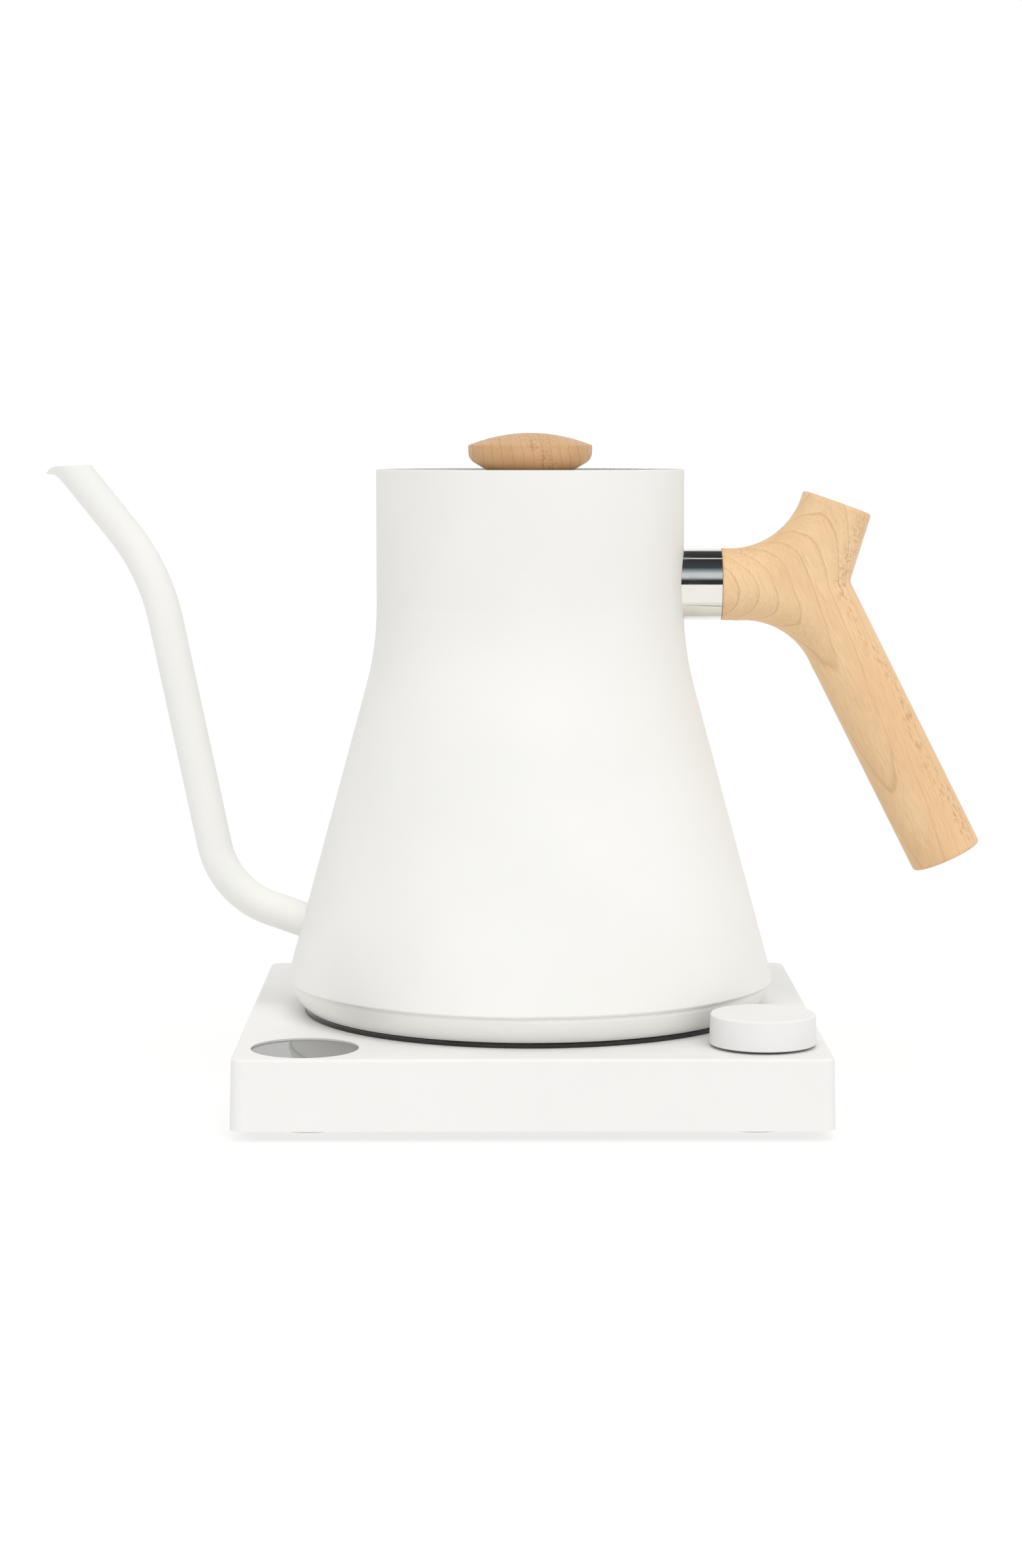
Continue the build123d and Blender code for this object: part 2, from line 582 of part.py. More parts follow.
def fork_web(end):
    """Filling inside the angle between the handle's neck and one limb, hollowed by an arc."""
    neck_start = (FERRULE_END_X, HANDLE_Z)
    bend = HANDLE_FILLET_R + HANDLE_R + 0.4
    centre_line = FilletPolyline(neck_start, FORK, end, radius=bend)
    arc = centre_line.edges().filter_by(GeomType.CIRCLE)[0]
    centre = arc.arc_center
    reach_a, reach_b = arc @ 0, arc @ 1
    shrink = HANDLE_FILLET_R / bend
    near_a, near_b = centre + (reach_a - centre) * shrink, centre + (reach_b - centre) * shrink
    middle = centre + (arc @ 0.5 - centre) * shrink
    outline = [ThreePointArc(near_a, middle, near_b), Line(near_b, reach_b),
               Line(reach_b, FORK), Line(FORK, reach_a), Line(reach_a, near_a)]
    face = make_face(Plane.XZ * Curve(outline))
    plate = extrude(face, WEB_HALF_T, both=True)
    hollow = plate.edges().filter_by(GeomType.CIRCLE)
    return Pos(0, 0, UP) * fillet(hollow, WEB_EDGE_R)


def handle():
    """One piece of wood: a level neck that forks into a long grip and a short horn."""
    wood = limb((FERRULE_END_X, HANDLE_Z), (FORK_X + 2.5, HANDLE_Z))
    for end, degrees in ((GRIP_END, GRIP_CUT_DEG), (HORN_END, HORN_CUT_DEG)):
        wood += cut_limb(end, degrees)
    for end in (GRIP_END, HORN_END):
        wood += fork_web(end)
    return wood - bar_x(INSERT_R, FERRULE_END_X - 1, INSERT_X1 + 2, HANDLE_H)


def handle_ferrule():
    tube = bar_x(FERRULE_R, NECK_R - 12, FERRULE_END_X, HANDLE_H)
    tube -= bar_x(FERRULE_R - 1.2, NECK_R - 13, FERRULE_END_X + 1, HANDLE_H)
    tube = tube - outer_form()
    return tube.solids().sort_by(Axis.X)[-1]


def handle_stud():
    """Screw stud on a pad welded to the neck."""
    pad = bar_x(7.0, NECK_R - 6, NECK_R + 3.4, HANDLE_H) - outer_form()
    pad = pad.solids().sort_by(Axis.X)[-1]
    return pad + bar_x(STUD_R - 0.05, NECK_R + 3, INSERT_X1 - 1, HANDLE_H)


def handle_washer():
    """Heat-insulating disc that closes the ferrule against the wood."""
    disc = bar_x(FERRULE_R - 1.25, FERRULE_END_X - 2.0, FERRULE_END_X, HANDLE_H)
    return disc - bar_x(STUD_R, 0, 100, HANDLE_H)


def handle_insert():
    sleeve = bar_x(INSERT_R, INSERT_X0, INSERT_X1, HANDLE_H)
    return sleeve - bar_x(STUD_R, INSERT_X0 - 1, INSERT_X1 + 1, HANDLE_H)


# ---------------------------------------------------------------- lid
LID_TOP = RIM_Z - LID_DROP
LID_T = 0.8
LID_SCREW_R, LID_INSERT_R = 2.0, 3.4
VENT_R, VENT_AT = 1.5, 29.0


def lid_disc():
    disc = rod(LID_R, UP + LID_TOP - LID_T, UP + LID_TOP)
    disc = fillet(disc.edges().group_by(Axis.Z)[-1], 0.3)
    disc -= rod(LID_SCREW_R + 0.1, UP + LID_TOP - 5, UP + LID_TOP + 5)
    for i in range(5):
        angle = math.radians(-32 + 16 * i)
        disc -= rod(VENT_R, UP + LID_TOP - 5, UP + LID_TOP + 5,
                    VENT_AT * math.cos(angle), VENT_AT * math.sin(angle))
    return disc


def lid_cup():
    """Steel collar that guides the lid in the mouth, with a rolled-in lower edge."""
    z1 = UP + LID_TOP - LID_T
    z0 = z1 - LID_CUP_DEPTH
    wall = ring(LID_CUP_R, LID_CUP_R - 0.7, z0, z1)
    lip = ring(LID_CUP_R, LID_CUP_R - 3.5, z0, z0 + 0.7)
    top = ring(LID_CUP_R, LID_CUP_R - 3.5, z1 - 0.7, z1)
    return wall + lip + top


def lid_gasket():
    """Silicone ring with two soft ribs, around the collar."""
    z = UP + LID_TOP - 8.0
    inner = LID_CUP_R
    return turned_polygon((inner, z - 2.5), (inner + 0.35, z - 2.5), (inner + 0.85, z - 1.6),
                          (inner + 0.35, z - 0.7), (inner + 0.35, z + 0.7), (inner + 0.85, z + 1.6),
                          (inner + 0.35, z + 2.5), (inner, z + 2.5))


def lid_knob():
    """Turned wooden knob: domed top, straight side, undercut to a narrower foot."""
    foot_z = UP + LID_TOP
    edge, side, top = UP + KNOB_EDGE_Z, UP + KNOB_SIDE_Z, UP + KNOB_TOP_Z
    dome = ThreePointArc((0, top), (KNOB_R * 0.55, top - 0.31 * (KNOB_TOP_Z - KNOB_EDGE_Z)), (KNOB_R - 0.25, edge))
    rim = ThreePointArc((KNOB_R - 0.25, edge), (KNOB_R - 0.02, edge - 0.35), (KNOB_R, edge - 0.8))
    wall = Line((KNOB_R, edge - 0.8), (KNOB_R, side))
    turn = ThreePointArc((KNOB_R, side), (KNOB_R - 0.45, side - 1.3), (KNOB_R - 1.5, side - 2.35))
    under = Line((KNOB_R - 1.5, side - 2.35), (KNOB_FOOT_R, foot_z))
    rest = Polyline((KNOB_FOOT_R, foot_z), (0, foot_z), (0, top))
    wood = turned(dome, rim, wall, turn, under, *rest.edges())
    return wood - rod(LID_INSERT_R, foot_z - 1, foot_z + 7.5)


def lid_insert():
    foot_z = UP + LID_TOP
    return ring(LID_INSERT_R, LID_SCREW_R, foot_z, foot_z + 7.0)


def lid_washer():
    z1 = UP + LID_TOP - LID_T
    return ring(8.0, LID_SCREW_R, z1 - 0.8, z1)


def lid_screw():
    z1 = UP + LID_TOP - LID_T - 0.8
    return pan_screw(0, 0, z1 - 2.4, 3.6, 2.4, LID_SCREW_R - 0.05, 8.0)


# ---------------------------------------------------------------- all the pieces, by name
PIECES = {
    "base_housing": base_housing,
    "base_cover": base_cover,
    "rubber_feet": rubber_feet,
    "base_screws": base_screws,
    "dock_plate": dock_plate,
    "power_socket": power_socket,
    "socket_contacts": socket_contacts,
    "main_board": main_board,
    "board_posts": board_posts,
    "power_relay": power_relay,
    "supply_module": supply_module,
    "terminal_block": terminal_block,
    "display_lens": display_lens,
    "lcd_panel": lcd_panel,
    "display_board": display_board,
    "encoder_board": encoder_board,
    "encoder_body": encoder_body,
    "encoder_rotor": encoder_rotor,
    "encoder_shaft": encoder_shaft,
    "control_dial": control_dial,
    "cord_gland": cord_gland,
    "switch_body": switch_body,
    "switch_slider": switch_slider,
    "kettle_shell": kettle_shell,
    "kettle_floor": kettle_floor,
    "spout": spout,
    "skirt_ring": skirt_ring,
    "kettle_cover": kettle_cover,
    "cover_posts": cover_posts,
    "cover_screws": cover_screws,
    "heater_plate": heater_plate,
    "heating_element": heating_element,
    "temperature_sensor": temperature_sensor,
    "sensor_seal": sensor_seal,
    "kettle_plug": kettle_plug,
    "plug_contacts": plug_contacts,
    "handle_ferrule": handle_ferrule,
    "handle_stud": handle_stud,
    "handle_washer": handle_washer,
    "handle_insert": handle_insert,
    "handle": handle,
    "lid_disc": lid_disc,
    "lid_cup": lid_cup,
    "lid_gasket": lid_gasket,
    "lid_knob": lid_knob,
    "lid_insert": lid_insert,
    "lid_washer": lid_washer,
    "lid_screw": lid_screw,
}

os.makedirs("parts", exist_ok=True)
low, high = [1e9] * 3, [-1e9] * 3
for name, make in PIECES.items():
    piece = Pos(AXIS_X, 0, 0) * make()
    export_step(piece, f"parts/{name}.step")
    box = piece.bounding_box()
    low = [min(a, b) for a, b in zip(low, tuple(box.min))]
    high = [max(a, b) for a, b in zip(high, tuple(box.max))]
print("lowest corner", [round(v, 2) for v in low], "highest corner", [round(v, 2) for v in high])
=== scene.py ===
# %% [markdown]
# # A gooseneck kettle on its powered base
#
# This file dresses an electric pour-over kettle: a white powder-coated body with a thin curved
# spout, a maple grip and lid knob, and a square base with a round display and a push dial.
# The sizes, the joints and most of the parts come ready made from the CAD frame. What is made
# here is what a CAD solid can't give: the carved grip, the curled pouring lip, the turned knob,
# and every finish. All places are read from the frame, so nothing is fitted by eye.

# %% Load the frame
import math

import bmesh
import bpy
import numpy as np
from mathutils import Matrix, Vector


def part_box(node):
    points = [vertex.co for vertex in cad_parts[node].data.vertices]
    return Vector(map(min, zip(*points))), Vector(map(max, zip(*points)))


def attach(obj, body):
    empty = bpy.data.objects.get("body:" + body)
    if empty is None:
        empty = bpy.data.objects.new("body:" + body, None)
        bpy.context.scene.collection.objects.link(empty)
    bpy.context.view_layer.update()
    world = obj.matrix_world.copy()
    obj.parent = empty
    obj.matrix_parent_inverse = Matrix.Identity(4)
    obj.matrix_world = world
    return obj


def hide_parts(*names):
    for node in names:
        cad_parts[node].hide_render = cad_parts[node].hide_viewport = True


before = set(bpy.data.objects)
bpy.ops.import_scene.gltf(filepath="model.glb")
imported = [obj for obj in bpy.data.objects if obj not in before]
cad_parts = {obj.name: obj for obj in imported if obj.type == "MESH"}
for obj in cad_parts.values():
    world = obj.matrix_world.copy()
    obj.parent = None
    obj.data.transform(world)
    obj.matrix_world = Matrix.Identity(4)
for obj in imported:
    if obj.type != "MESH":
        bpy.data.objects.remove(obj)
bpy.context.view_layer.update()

MM = 0.001

# %% [markdown]
# ## Where things are
#
# Three places carry all the others: the kettle's upright axis, the base's top face and the rim.
# Each is read from the box of a CAD node. Heights below are given above the base's top face,
# in millimetres, because that is how a kettle maker would dimension the parts.

# %% Anchors from the frame
shell_low, shell_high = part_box("kettle_shell")
AXIS_X = (shell_low.x + shell_high.x) / 2 / MM
BASE_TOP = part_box("base_housing")[1].z / MM
RIM_Z = shell_high.z / MM - BASE_TOP
FERRULE_END_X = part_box("handle_ferrule")[1].x / MM - AXIS_X
print("axis x", round(AXIS_X, 2), "base top", round(BASE_TOP, 2), "rim", round(RIM_Z, 2))


def at(x, y, z):
    """A point about the kettle's axis, heights above the base's top, as metres in the frame."""
    return Vector(((AXIS_X + x) * MM, y * MM, (BASE_TOP + z) * MM))


# %% [markdown]
# ## The camera
#
# The kettle is seen square on from the front, from a little above the rim, with a long lens.
# A long lens keeps the rim almost a straight line and the sides of the base nearly parallel.
# The camera is aimed by turning it, with no lens shift, so other views can reuse it.

# %% Camera
SENSOR = 36.0
FOCAL_LENGTH = 73.57
camera_data = bpy.data.cameras.new("camera")
camera_data.sensor_width = SENSOR
camera_data.lens = FOCAL_LENGTH
camera = bpy.data.objects.new("camera", camera_data)
bpy.context.scene.collection.objects.link(camera)
camera.location = at(-10.4, -990.7, 174.3)
DOWN_TILT = math.radians(6.0)
RIGHT_TURN = math.radians(0.26)
camera.rotation_euler = (math.pi / 2 - DOWN_TILT, 0, -RIGHT_TURN)
bpy.context.scene.camera = camera
print("camera is", round((camera.location - at(0, 0, 90)).length, 3), "m from the kettle")

# %% [markdown]
# ## Small tools for meshes
#
# Most parts of a kettle are round about one axis, so one lathe makes them all. Its outline is a
# closed loop of (radius, height) corners, each with its own rounding. Real edges are never
# perfectly sharp, and the small rounding is what catches the light. A grid of points joined into
# quads does the rest: tubes, and anything else with a regular skin.

# %% Mesh tools
def add_object(name, mesh, body, material, sharp=35.0):
    """Links a finished mesh as a piece that rides on a body."""
    mesh.shade_smooth()
    mesh.set_sharp_from_angle(angle=math.radians(sharp))
    mesh.materials.append(material)
    piece = bpy.data.objects.new(name, mesh)
    bpy.context.scene.collection.objects.link(piece)
    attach(piece, body)
    print(name, "has", len(mesh.polygons), "faces")
    return piece


def rounded(corners, degrees_a_step=9.0):
    """Rounds a closed outline. Each corner is (radius, height, rounding), all in millimetres."""
    outline = []
    for i, (x, z, rounding) in enumerate(corners):
        corner = Vector((x, z))
        if rounding <= 0:
            outline.append(corner)
            continue
        before = (Vector(corners[i - 1][:2]) - corner).normalized()
        after = (Vector(corners[(i + 1) % len(corners)][:2]) - corner).normalized()
        half = before.angle(after) / 2
        centre = corner + (before + after).normalized() * (rounding / math.sin(half))
        first = corner + before * (rounding / math.tan(half)) - centre
        last = corner + after * (rounding / math.tan(half)) - centre
        turn = first.angle_signed(last)
        steps = max(2, math.ceil(abs(math.degrees(turn)) / degrees_a_step))
        for k in range(steps + 1):
            angle = -turn * k / steps
            cos, sin = math.cos(angle), math.sin(angle)
            outline.append(centre + Vector((first.x * cos - first.y * sin, first.x * sin + first.y * cos)))
    return outline


def lathe(name, corners, body, material, centre=(0.0, 0.0), steps=192, sharp=35.0):
    """Turns a closed outline about an upright axis. centre is that axis, about the kettle's own."""
    outline = rounded(corners)
    build = bmesh.new()
    rings = []
    for r, z in outline:
        if r < 1e-6:
            rings.append([build.verts.new(at(centre[0], centre[1], z))] * steps)
            continue
        ring = []
        for i in range(steps):
            angle = 2 * math.pi * i / steps
            ring.append(build.verts.new(at(centre[0] + r * math.cos(angle), centre[1] + r * math.sin(angle), z)))
        rings.append(ring)
    for upper, lower in zip(rings, rings[1:] + rings[:1]):
        for i in range(steps):
            j = (i + 1) % steps
            loop = list(dict.fromkeys((upper[i], upper[j], lower[j], lower[i])))
            if len(loop) > 2:
                build.faces.new(loop)
    bmesh.ops.recalc_face_normals(build, faces=build.faces)
    mesh = bpy.data.meshes.new(name)
    build.to_mesh(mesh)
    build.free()
    return add_object(name, mesh, body, material, sharp)


# %% [markdown]
# ## Small tools for materials
#
# Every finish is a graph of nodes, so a short way to write one keeps the cells readable: wire()
# makes a node, sets its named inputs and links those that are given another node's output.
# Effects that several finishes share are node groups, made once: a soft mottle and fine skin for
# plastics and paint, scratches and smudges for hard shiny things, and the grain of wood.

# %% Material tools
def wire(tree, kind, settings=None, **inputs):
    """Adds a node. An input is a number, a colour or another node's output."""
    node = tree.nodes.new(kind)
    for key, value in (settings or {}).items():
        setattr(node, key, value)
    for key, value in inputs.items():
        name = key.replace("_", " ")
        socket = node.inputs[int(name[1:])] if name[0] == "i" and name[1:].isdigit() else node.inputs[name]
        if isinstance(value, bpy.types.NodeSocket):
            tree.links.new(value, socket)
        else:
            socket.default_value = value
    return node


def math_node(tree, operation, a, b=0.0, c=0.0, clamp=False):
    return wire(tree, "ShaderNodeMath", {"operation": operation, "use_clamp": clamp}, i0=a, i1=b, i2=c).outputs[0]


def vector_node(tree, operation, a, b=(0, 0, 0)):
    node = wire(tree, "ShaderNodeVectorMath", {"operation": operation}, i0=a, i1=b)
    return node.outputs["Value"] if operation in ("DOT_PRODUCT", "LENGTH") else node.outputs["Vector"]


def noise(tree, vector, scale, detail=3.0, roughness=0.5):
    return wire(tree, "ShaderNodeTexNoise", Vector=vector, Scale=scale, Detail=detail,
                Roughness=roughness).outputs["Fac"]


def remap(tree, value, from_low, from_high, to_low=0.0, to_high=1.0):
    """Stretches a band of values onto another, with soft ends."""
    node = tree.nodes.new("ShaderNodeMapRange")
    node.interpolation_type = "SMOOTHSTEP"
    tree.links.new(value, node.inputs[0])
    for i, bound in enumerate((from_low, from_high, to_low, to_high)):
        node.inputs[i + 1].default_value = bound
    return node.outputs[0]


def blend_colours(tree, fac, a, b, mode="MIX"):
    node = wire(tree, "ShaderNodeMix", {"data_type": "RGBA", "blend_type": mode})
    for index, value in ((0, fac), (6, a), (7, b)):
        if isinstance(value, bpy.types.NodeSocket):
            tree.links.new(value, node.inputs[index])
        else:
            node.inputs[index].default_value = value
    return node.outputs[2]


def new_group(name, inputs, outputs):
    """A shader node group with named sockets. Returns the group and its input and output nodes."""
    group = bpy.data.node_groups.new(name, "ShaderNodeTree")
    for socket_name, kind, default in inputs:
        socket = group.interface.new_socket(socket_name, in_out="INPUT", socket_type=kind)
        if default is not None:
            socket.default_value = default
    for socket_name, kind in outputs:
        group.interface.new_socket(socket_name, in_out="OUTPUT", socket_type=kind)
    return group, group.nodes.new("NodeGroupInput").outputs, group.nodes.new("NodeGroupOutput").inputs


def use_group(tree, group, **inputs):
    """Places a group in a material. Returns its outputs."""
    return wire(tree, "ShaderNodeGroup", {"node_tree": group}, **inputs).outputs


def new_material(name):
    """A material with its shader. Returns it, its tree, its shader's inputs and object coordinates."""
    material = bpy.data.materials.new(name)
    material.use_nodes = True
    tree = material.node_tree
    shader = tree.nodes["Principled BSDF"]
    place = tree.nodes.new("ShaderNodeTexCoord").outputs["Object"]
    return material, tree, shader.inputs, place


def bump(tree, shader, height, strength, distance):
    """Fine relief. distance is the depth of the relief in metres."""
    node = wire(tree, "ShaderNodeBump", Strength=strength, Distance=distance, Height=height)
    tree.links.new(node.outputs["Normal"], shader["Normal"])


VALUE, COLOUR, VECTOR = "NodeSocketFloat", "NodeSocketColor", "NodeSocketVector"


def grey(level, warm=0.0):
    return (level * (1 + warm), level, level * (1 - warm), 1.0)


# %% [markdown]
# ## Shared effect: the skin of paint and plastic
#
# Powder coat is baked from grains, so close up it has a soft orange-peel of bumps about half a
# millimetre across. Moulded plastic carries the fine spark texture of its mould. Both also vary a
# little in tone over a hand's width. One group gives all three, and each finish sets the scale.

# %% Group: fine skin
def make_fine_skin():
    group, given, out = new_group(
        "fine_skin",
        [("Vector", VECTOR, None), ("Grain size", VALUE, 0.0005), ("Mottle size", VALUE, 0.03)],
        [("Height", VALUE), ("Mottle", VALUE), ("Gloss", VALUE)])
    grain_scale = math_node(group, "DIVIDE", 1.0, given["Grain size"])
    mottle_scale = math_node(group, "DIVIDE", 1.0, given["Mottle size"])
    coarse = noise(group, given["Vector"], grain_scale, 2.0)
    fine = noise(group, given["Vector"], math_node(group, "MULTIPLY", grain_scale, 2.7), 1.0)
    height = math_node(group, "ADD", coarse, math_node(group, "MULTIPLY", fine, 0.4))
    group.links.new(height, out["Height"])
    group.links.new(remap(group, noise(group, given["Vector"], mottle_scale, 3.0), 0.3, 0.7), out["Mottle"])
    group.links.new(remap(group, noise(group, given["Vector"], math_node(group, "MULTIPLY", mottle_scale, 2.3), 4.0),
                          0.35, 0.7), out["Gloss"])
    return group


fine_skin = make_fine_skin()
print("group", fine_skin.name, "puts out", [s.name for s in fine_skin.interface.items_tree if s.in_out == "OUTPUT"])

# %% [markdown]
# ## Shared effect: scratches and smudges
#
# Polished steel and black gloss plastic show every touch: hair-thin scratches that run mostly
# one way, and cloudy smudges where a finger has been. Stretched noise makes the scratches.
# Stretching it further, in a closer pattern, makes the lines of a brushed finish.

# %% Group: handling marks
def make_handling_marks():
    group, given, out = new_group(
        "handling_marks",
        [("Vector", VECTOR, None), ("Stretch", VECTOR, (1.0, 1.0, 1.0)), ("Scale", VALUE, 900.0)],
        [("Scratches", VALUE), ("Lines", VALUE), ("Smudges", VALUE)])
    drawn_out = vector_node(group, "MULTIPLY", given["Vector"], given["Stretch"])
    lines = noise(group, drawn_out, given["Scale"], 2.0, 0.6)
    sparse = noise(group, drawn_out, math_node(group, "MULTIPLY", given["Scale"], 0.37), 4.0, 0.65)
    group.links.new(remap(group, sparse, 0.66, 0.72), out["Scratches"])
    group.links.new(lines, out["Lines"])
    group.links.new(remap(group, noise(group, given["Vector"], 90.0, 4.0, 0.6), 0.45, 0.75), out["Smudges"])
    return group


handling_marks = make_handling_marks()
print("group", handling_marks.name, "ready")

# %% [markdown]
# ## Shared effect: the grain of maple
#
# Wood is solid grain, so its texture has to be solid too. A tree's growth rings are nested
# surfaces, and a carved piece shows wherever it cuts through them: straight lines along a rod
# that follows the grain, nested arcs across one that doesn't. So the ring number is worked out
# from the position alone, as a distance along one direction, bent a little by noise, and the
# pattern of lines, arcs and pointed loops on the surface comes by itself.
#
# Each ring is pale in the spring and ends in a thin brown line in the autumn. Between the rings
# lie fine fibres along the grain, and short dark flecks where the surface cuts the wood's rays
# edge on. The flecks are strongest where the surface runs square to the rings.

# %% Group: maple grain
def make_maple_grain():
    group, given, out = new_group(
        "maple_grain",
        [("Vector", VECTOR, None), ("Ring direction", VECTOR, (1, 0, 0)), ("Grain direction", VECTOR, (0, 0, 1)),
         ("Ring width", VALUE, 0.003), ("Phase", VALUE, 0.0), ("Waviness", VALUE, 1.0)],
        [("Line", VALUE), ("Band", VALUE), ("Fibre", VALUE), ("Fleck", VALUE), ("Cloud", VALUE)])
    place, rings, along = given["Vector"], given["Ring direction"], given["Grain direction"]
    across = vector_node(group, "CROSS_PRODUCT", rings, along)
    u = vector_node(group, "DOT_PRODUCT", place, rings)
    v = vector_node(group, "DOT_PRODUCT", place, along)
    w = vector_node(group, "DOT_PRODUCT", place, across)

    def squeezed(stretch_u, stretch_v, stretch_w):
        """Coordinates along ring, grain and ray, each scaled by its own factor."""
        parts = [math_node(group, "MULTIPLY", a, b) for a, b in ((u, stretch_u), (v, stretch_v), (w, stretch_w))]
        return wire(group, "ShaderNodeCombineXYZ", X=parts[0], Y=parts[1], Z=parts[2]).outputs[0]

    slow = noise(group, squeezed(40.0, 14.0, 40.0), 1.0, 2.0)
    quick = noise(group, squeezed(300.0, 60.0, 300.0), 1.0, 2.0)
    drift = math_node(group, "MULTIPLY", math_node(group, "SUBTRACT", slow, 0.5), 0.0042)
    shiver = math_node(group, "MULTIPLY", math_node(group, "SUBTRACT", quick, 0.5), 0.0006)
    bend = math_node(group, "MULTIPLY", math_node(group, "ADD", drift, shiver), given["Waviness"])
    ring = math_node(group, "DIVIDE", math_node(group, "ADD", u, bend), given["Ring width"])
    ring = math_node(group, "ADD", ring, given["Phase"])
    season = math_node(group, "FRACT", ring)
    line = math_node(group, "MULTIPLY", remap(group, season, 0.84, 0.95), remap(group, season, 0.95, 1.0, 1.0, 0.0))
    strength = noise(group, squeezed(90.0, 9.0, 90.0), 1.0, 2.0)
    group.links.new(math_node(group, "MULTIPLY", line, remap(group, strength, 0.35, 0.62, 0.5, 1.0)), out["Line"])
    group.links.new(remap(group, season, 0.0, 0.9), out["Band"])
    group.links.new(noise(group, squeezed(2600.0, 110.0, 2600.0), 1.0, 3.0, 0.6), out["Fibre"])
    fleck = noise(group, squeezed(1150.0, 420.0, 1700.0), 1.0, 2.0, 0.5)
    patch = noise(group, squeezed(90.0, 45.0, 90.0), 1.0, 2.0)
    normal = group.nodes.new("ShaderNodeTexCoord").outputs["Normal"]
    slant = math_node(group, "ADD", vector_node(group, "DOT_PRODUCT", normal, rings), 0.12)
    edge_on = remap(group, math_node(group, "ABSOLUTE", slant), 0.16, 0.5, 1.0, 0.0)
    specks = math_node(group, "MULTIPLY", remap(group, fleck, 0.53, 0.60), remap(group, patch, 0.40, 0.53))
    group.links.new(math_node(group, "MULTIPLY", specks, edge_on), out["Fleck"])
    group.links.new(noise(group, squeezed(55.0, 18.0, 55.0), 1.0, 3.0), out["Cloud"])
    return group


maple_grain = make_maple_grain()
print("group", maple_grain.name, "ready")

# %% [markdown]
# ## Finish: white powder coat, and the bare steel behind it
#
# The kettle's body and spout are steel with a thick matte paint baked on. The coat is warm white
# and scatters light softly, with just enough sheen to show the form. The same steel sheet is left
# bare and brushed inside, where the water is. Paint ends where the wall turns inward, so the
# finish looks at which way the surface faces: away from the kettle's axis, or towards it.

# %% Powder coat and inner steel
COAT_LIGHT = (0.835, 0.832, 0.808, 1.0)
COAT_DEEP = (0.808, 0.806, 0.778, 1.0)
STEEL = (0.58, 0.575, 0.56, 1.0)


def make_powder_coat(name, light=COAT_LIGHT, deep=COAT_DEEP, bare_inside=False, roughness=(0.5, 0.62)):
    material, tree, shader, place = new_material(name)
    skin = use_group(tree, fine_skin, Vector=place, Grain_size=0.0007, Mottle_size=0.05)
    colour = blend_colours(tree, skin["Mottle"], light, deep)
    rough = remap(tree, skin["Gloss"], 0.0, 1.0, *roughness)
    if bare_inside:
        around = vector_node(tree, "SUBTRACT", place, tuple(at(0, 0, 0)))
        flat = vector_node(tree, "NORMALIZE", vector_node(tree, "MULTIPLY", around, (1, 1, 0)))
        normal = tree.nodes.new("ShaderNodeTexCoord").outputs["Normal"]
        inward = remap(tree, vector_node(tree, "DOT_PRODUCT", normal, flat), -0.5, -0.3, 1.0, 0.0)
        marks = use_group(tree, handling_marks, Vector=place, Stretch=(0.06, 0.06, 1.0), Scale=2600.0)
        colour = blend_colours(tree, inward, colour, STEEL)
        brushed = remap(tree, marks["Lines"], 0.3, 0.7, 0.22, 0.42)
        rough = wire(tree, "ShaderNodeMix", {"data_type": "FLOAT"}, i0=inward, i2=rough, i3=brushed).outputs[0]
        tree.links.new(math_node(tree, "MULTIPLY", inward, 0.75), shader["Metallic"])
    tree.links.new(colour, shader["Base Color"])
    tree.links.new(rough, shader["Roughness"])
    shader["Specular IOR Level"].default_value = 0.42
    bump(tree, shader, skin["Height"], 0.16, 0.00012)
    return material


powder_coat_body = make_powder_coat("powder_coat_body", bare_inside=True)
powder_coat = make_powder_coat("powder_coat")
print("powder coat made")

# %% [markdown]
# ## Finish: moulded plastics
#
# The base and the dial are white plastic with a fine mould texture, a shade cooler and smoother
# than the kettle. The ring under the kettle's seam is the same plastic in a creamier batch and a
# little glossier, which is why it can be told from the steel above it. The hidden mouldings are
# black or dark, and rougher.

# %% Plastics
def make_plastic(name, light, deep, roughness, grain=0.00035, relief=0.12, specular=0.45):
    material, tree, shader, place = new_material(name)
    skin = use_group(tree, fine_skin, Vector=place, Grain_size=grain, Mottle_size=0.04)
    tree.links.new(blend_colours(tree, skin["Mottle"], light, deep), shader["Base Color"])
    tree.links.new(remap(tree, skin["Gloss"], 0.0, 1.0, *roughness), shader["Roughness"])
    shader["Specular IOR Level"].default_value = specular
    bump(tree, shader, skin["Height"], relief, 0.00006)
    return material


base_white = make_plastic("base_white", (0.822, 0.819, 0.806, 1), (0.812, 0.808, 0.795, 1), (0.42, 0.52))
dial_white = make_plastic("dial_white", (0.80, 0.797, 0.79, 1), (0.79, 0.787, 0.78, 1), (0.42, 0.5))
skirt_cream = make_plastic("skirt_cream", (0.86, 0.855, 0.825, 1), (0.855, 0.849, 0.817, 1), (0.36, 0.40), relief=0.05)
dark_moulding = make_plastic("dark_moulding", grey(0.028), grey(0.02), (0.5, 0.65))
part_plastic = make_plastic("part_plastic", (0.04, 0.06, 0.1, 1), (0.03, 0.045, 0.08, 1), (0.4, 0.5))
rubber = make_plastic("rubber", grey(0.03), grey(0.045), (0.75, 0.9), grain=0.0006, relief=0.3, specular=0.25)
silicone = make_plastic("silicone", grey(0.8, 0.01), grey(0.74, 0.01), (0.45, 0.55))
print("plastics made")

# %% [markdown]
# ## Finish: black gloss and the smoked display
#
# The disc that the kettle stands on is black gloss plastic, and the display is a smoked window
# set flush in the base. Seen at a low angle both mirror what stands behind them, and that
# reflection, not their own colour, is most of what the eye sees. So they are nearly black, very
# smooth, and broken only by faint smudges, dust and wiping marks.

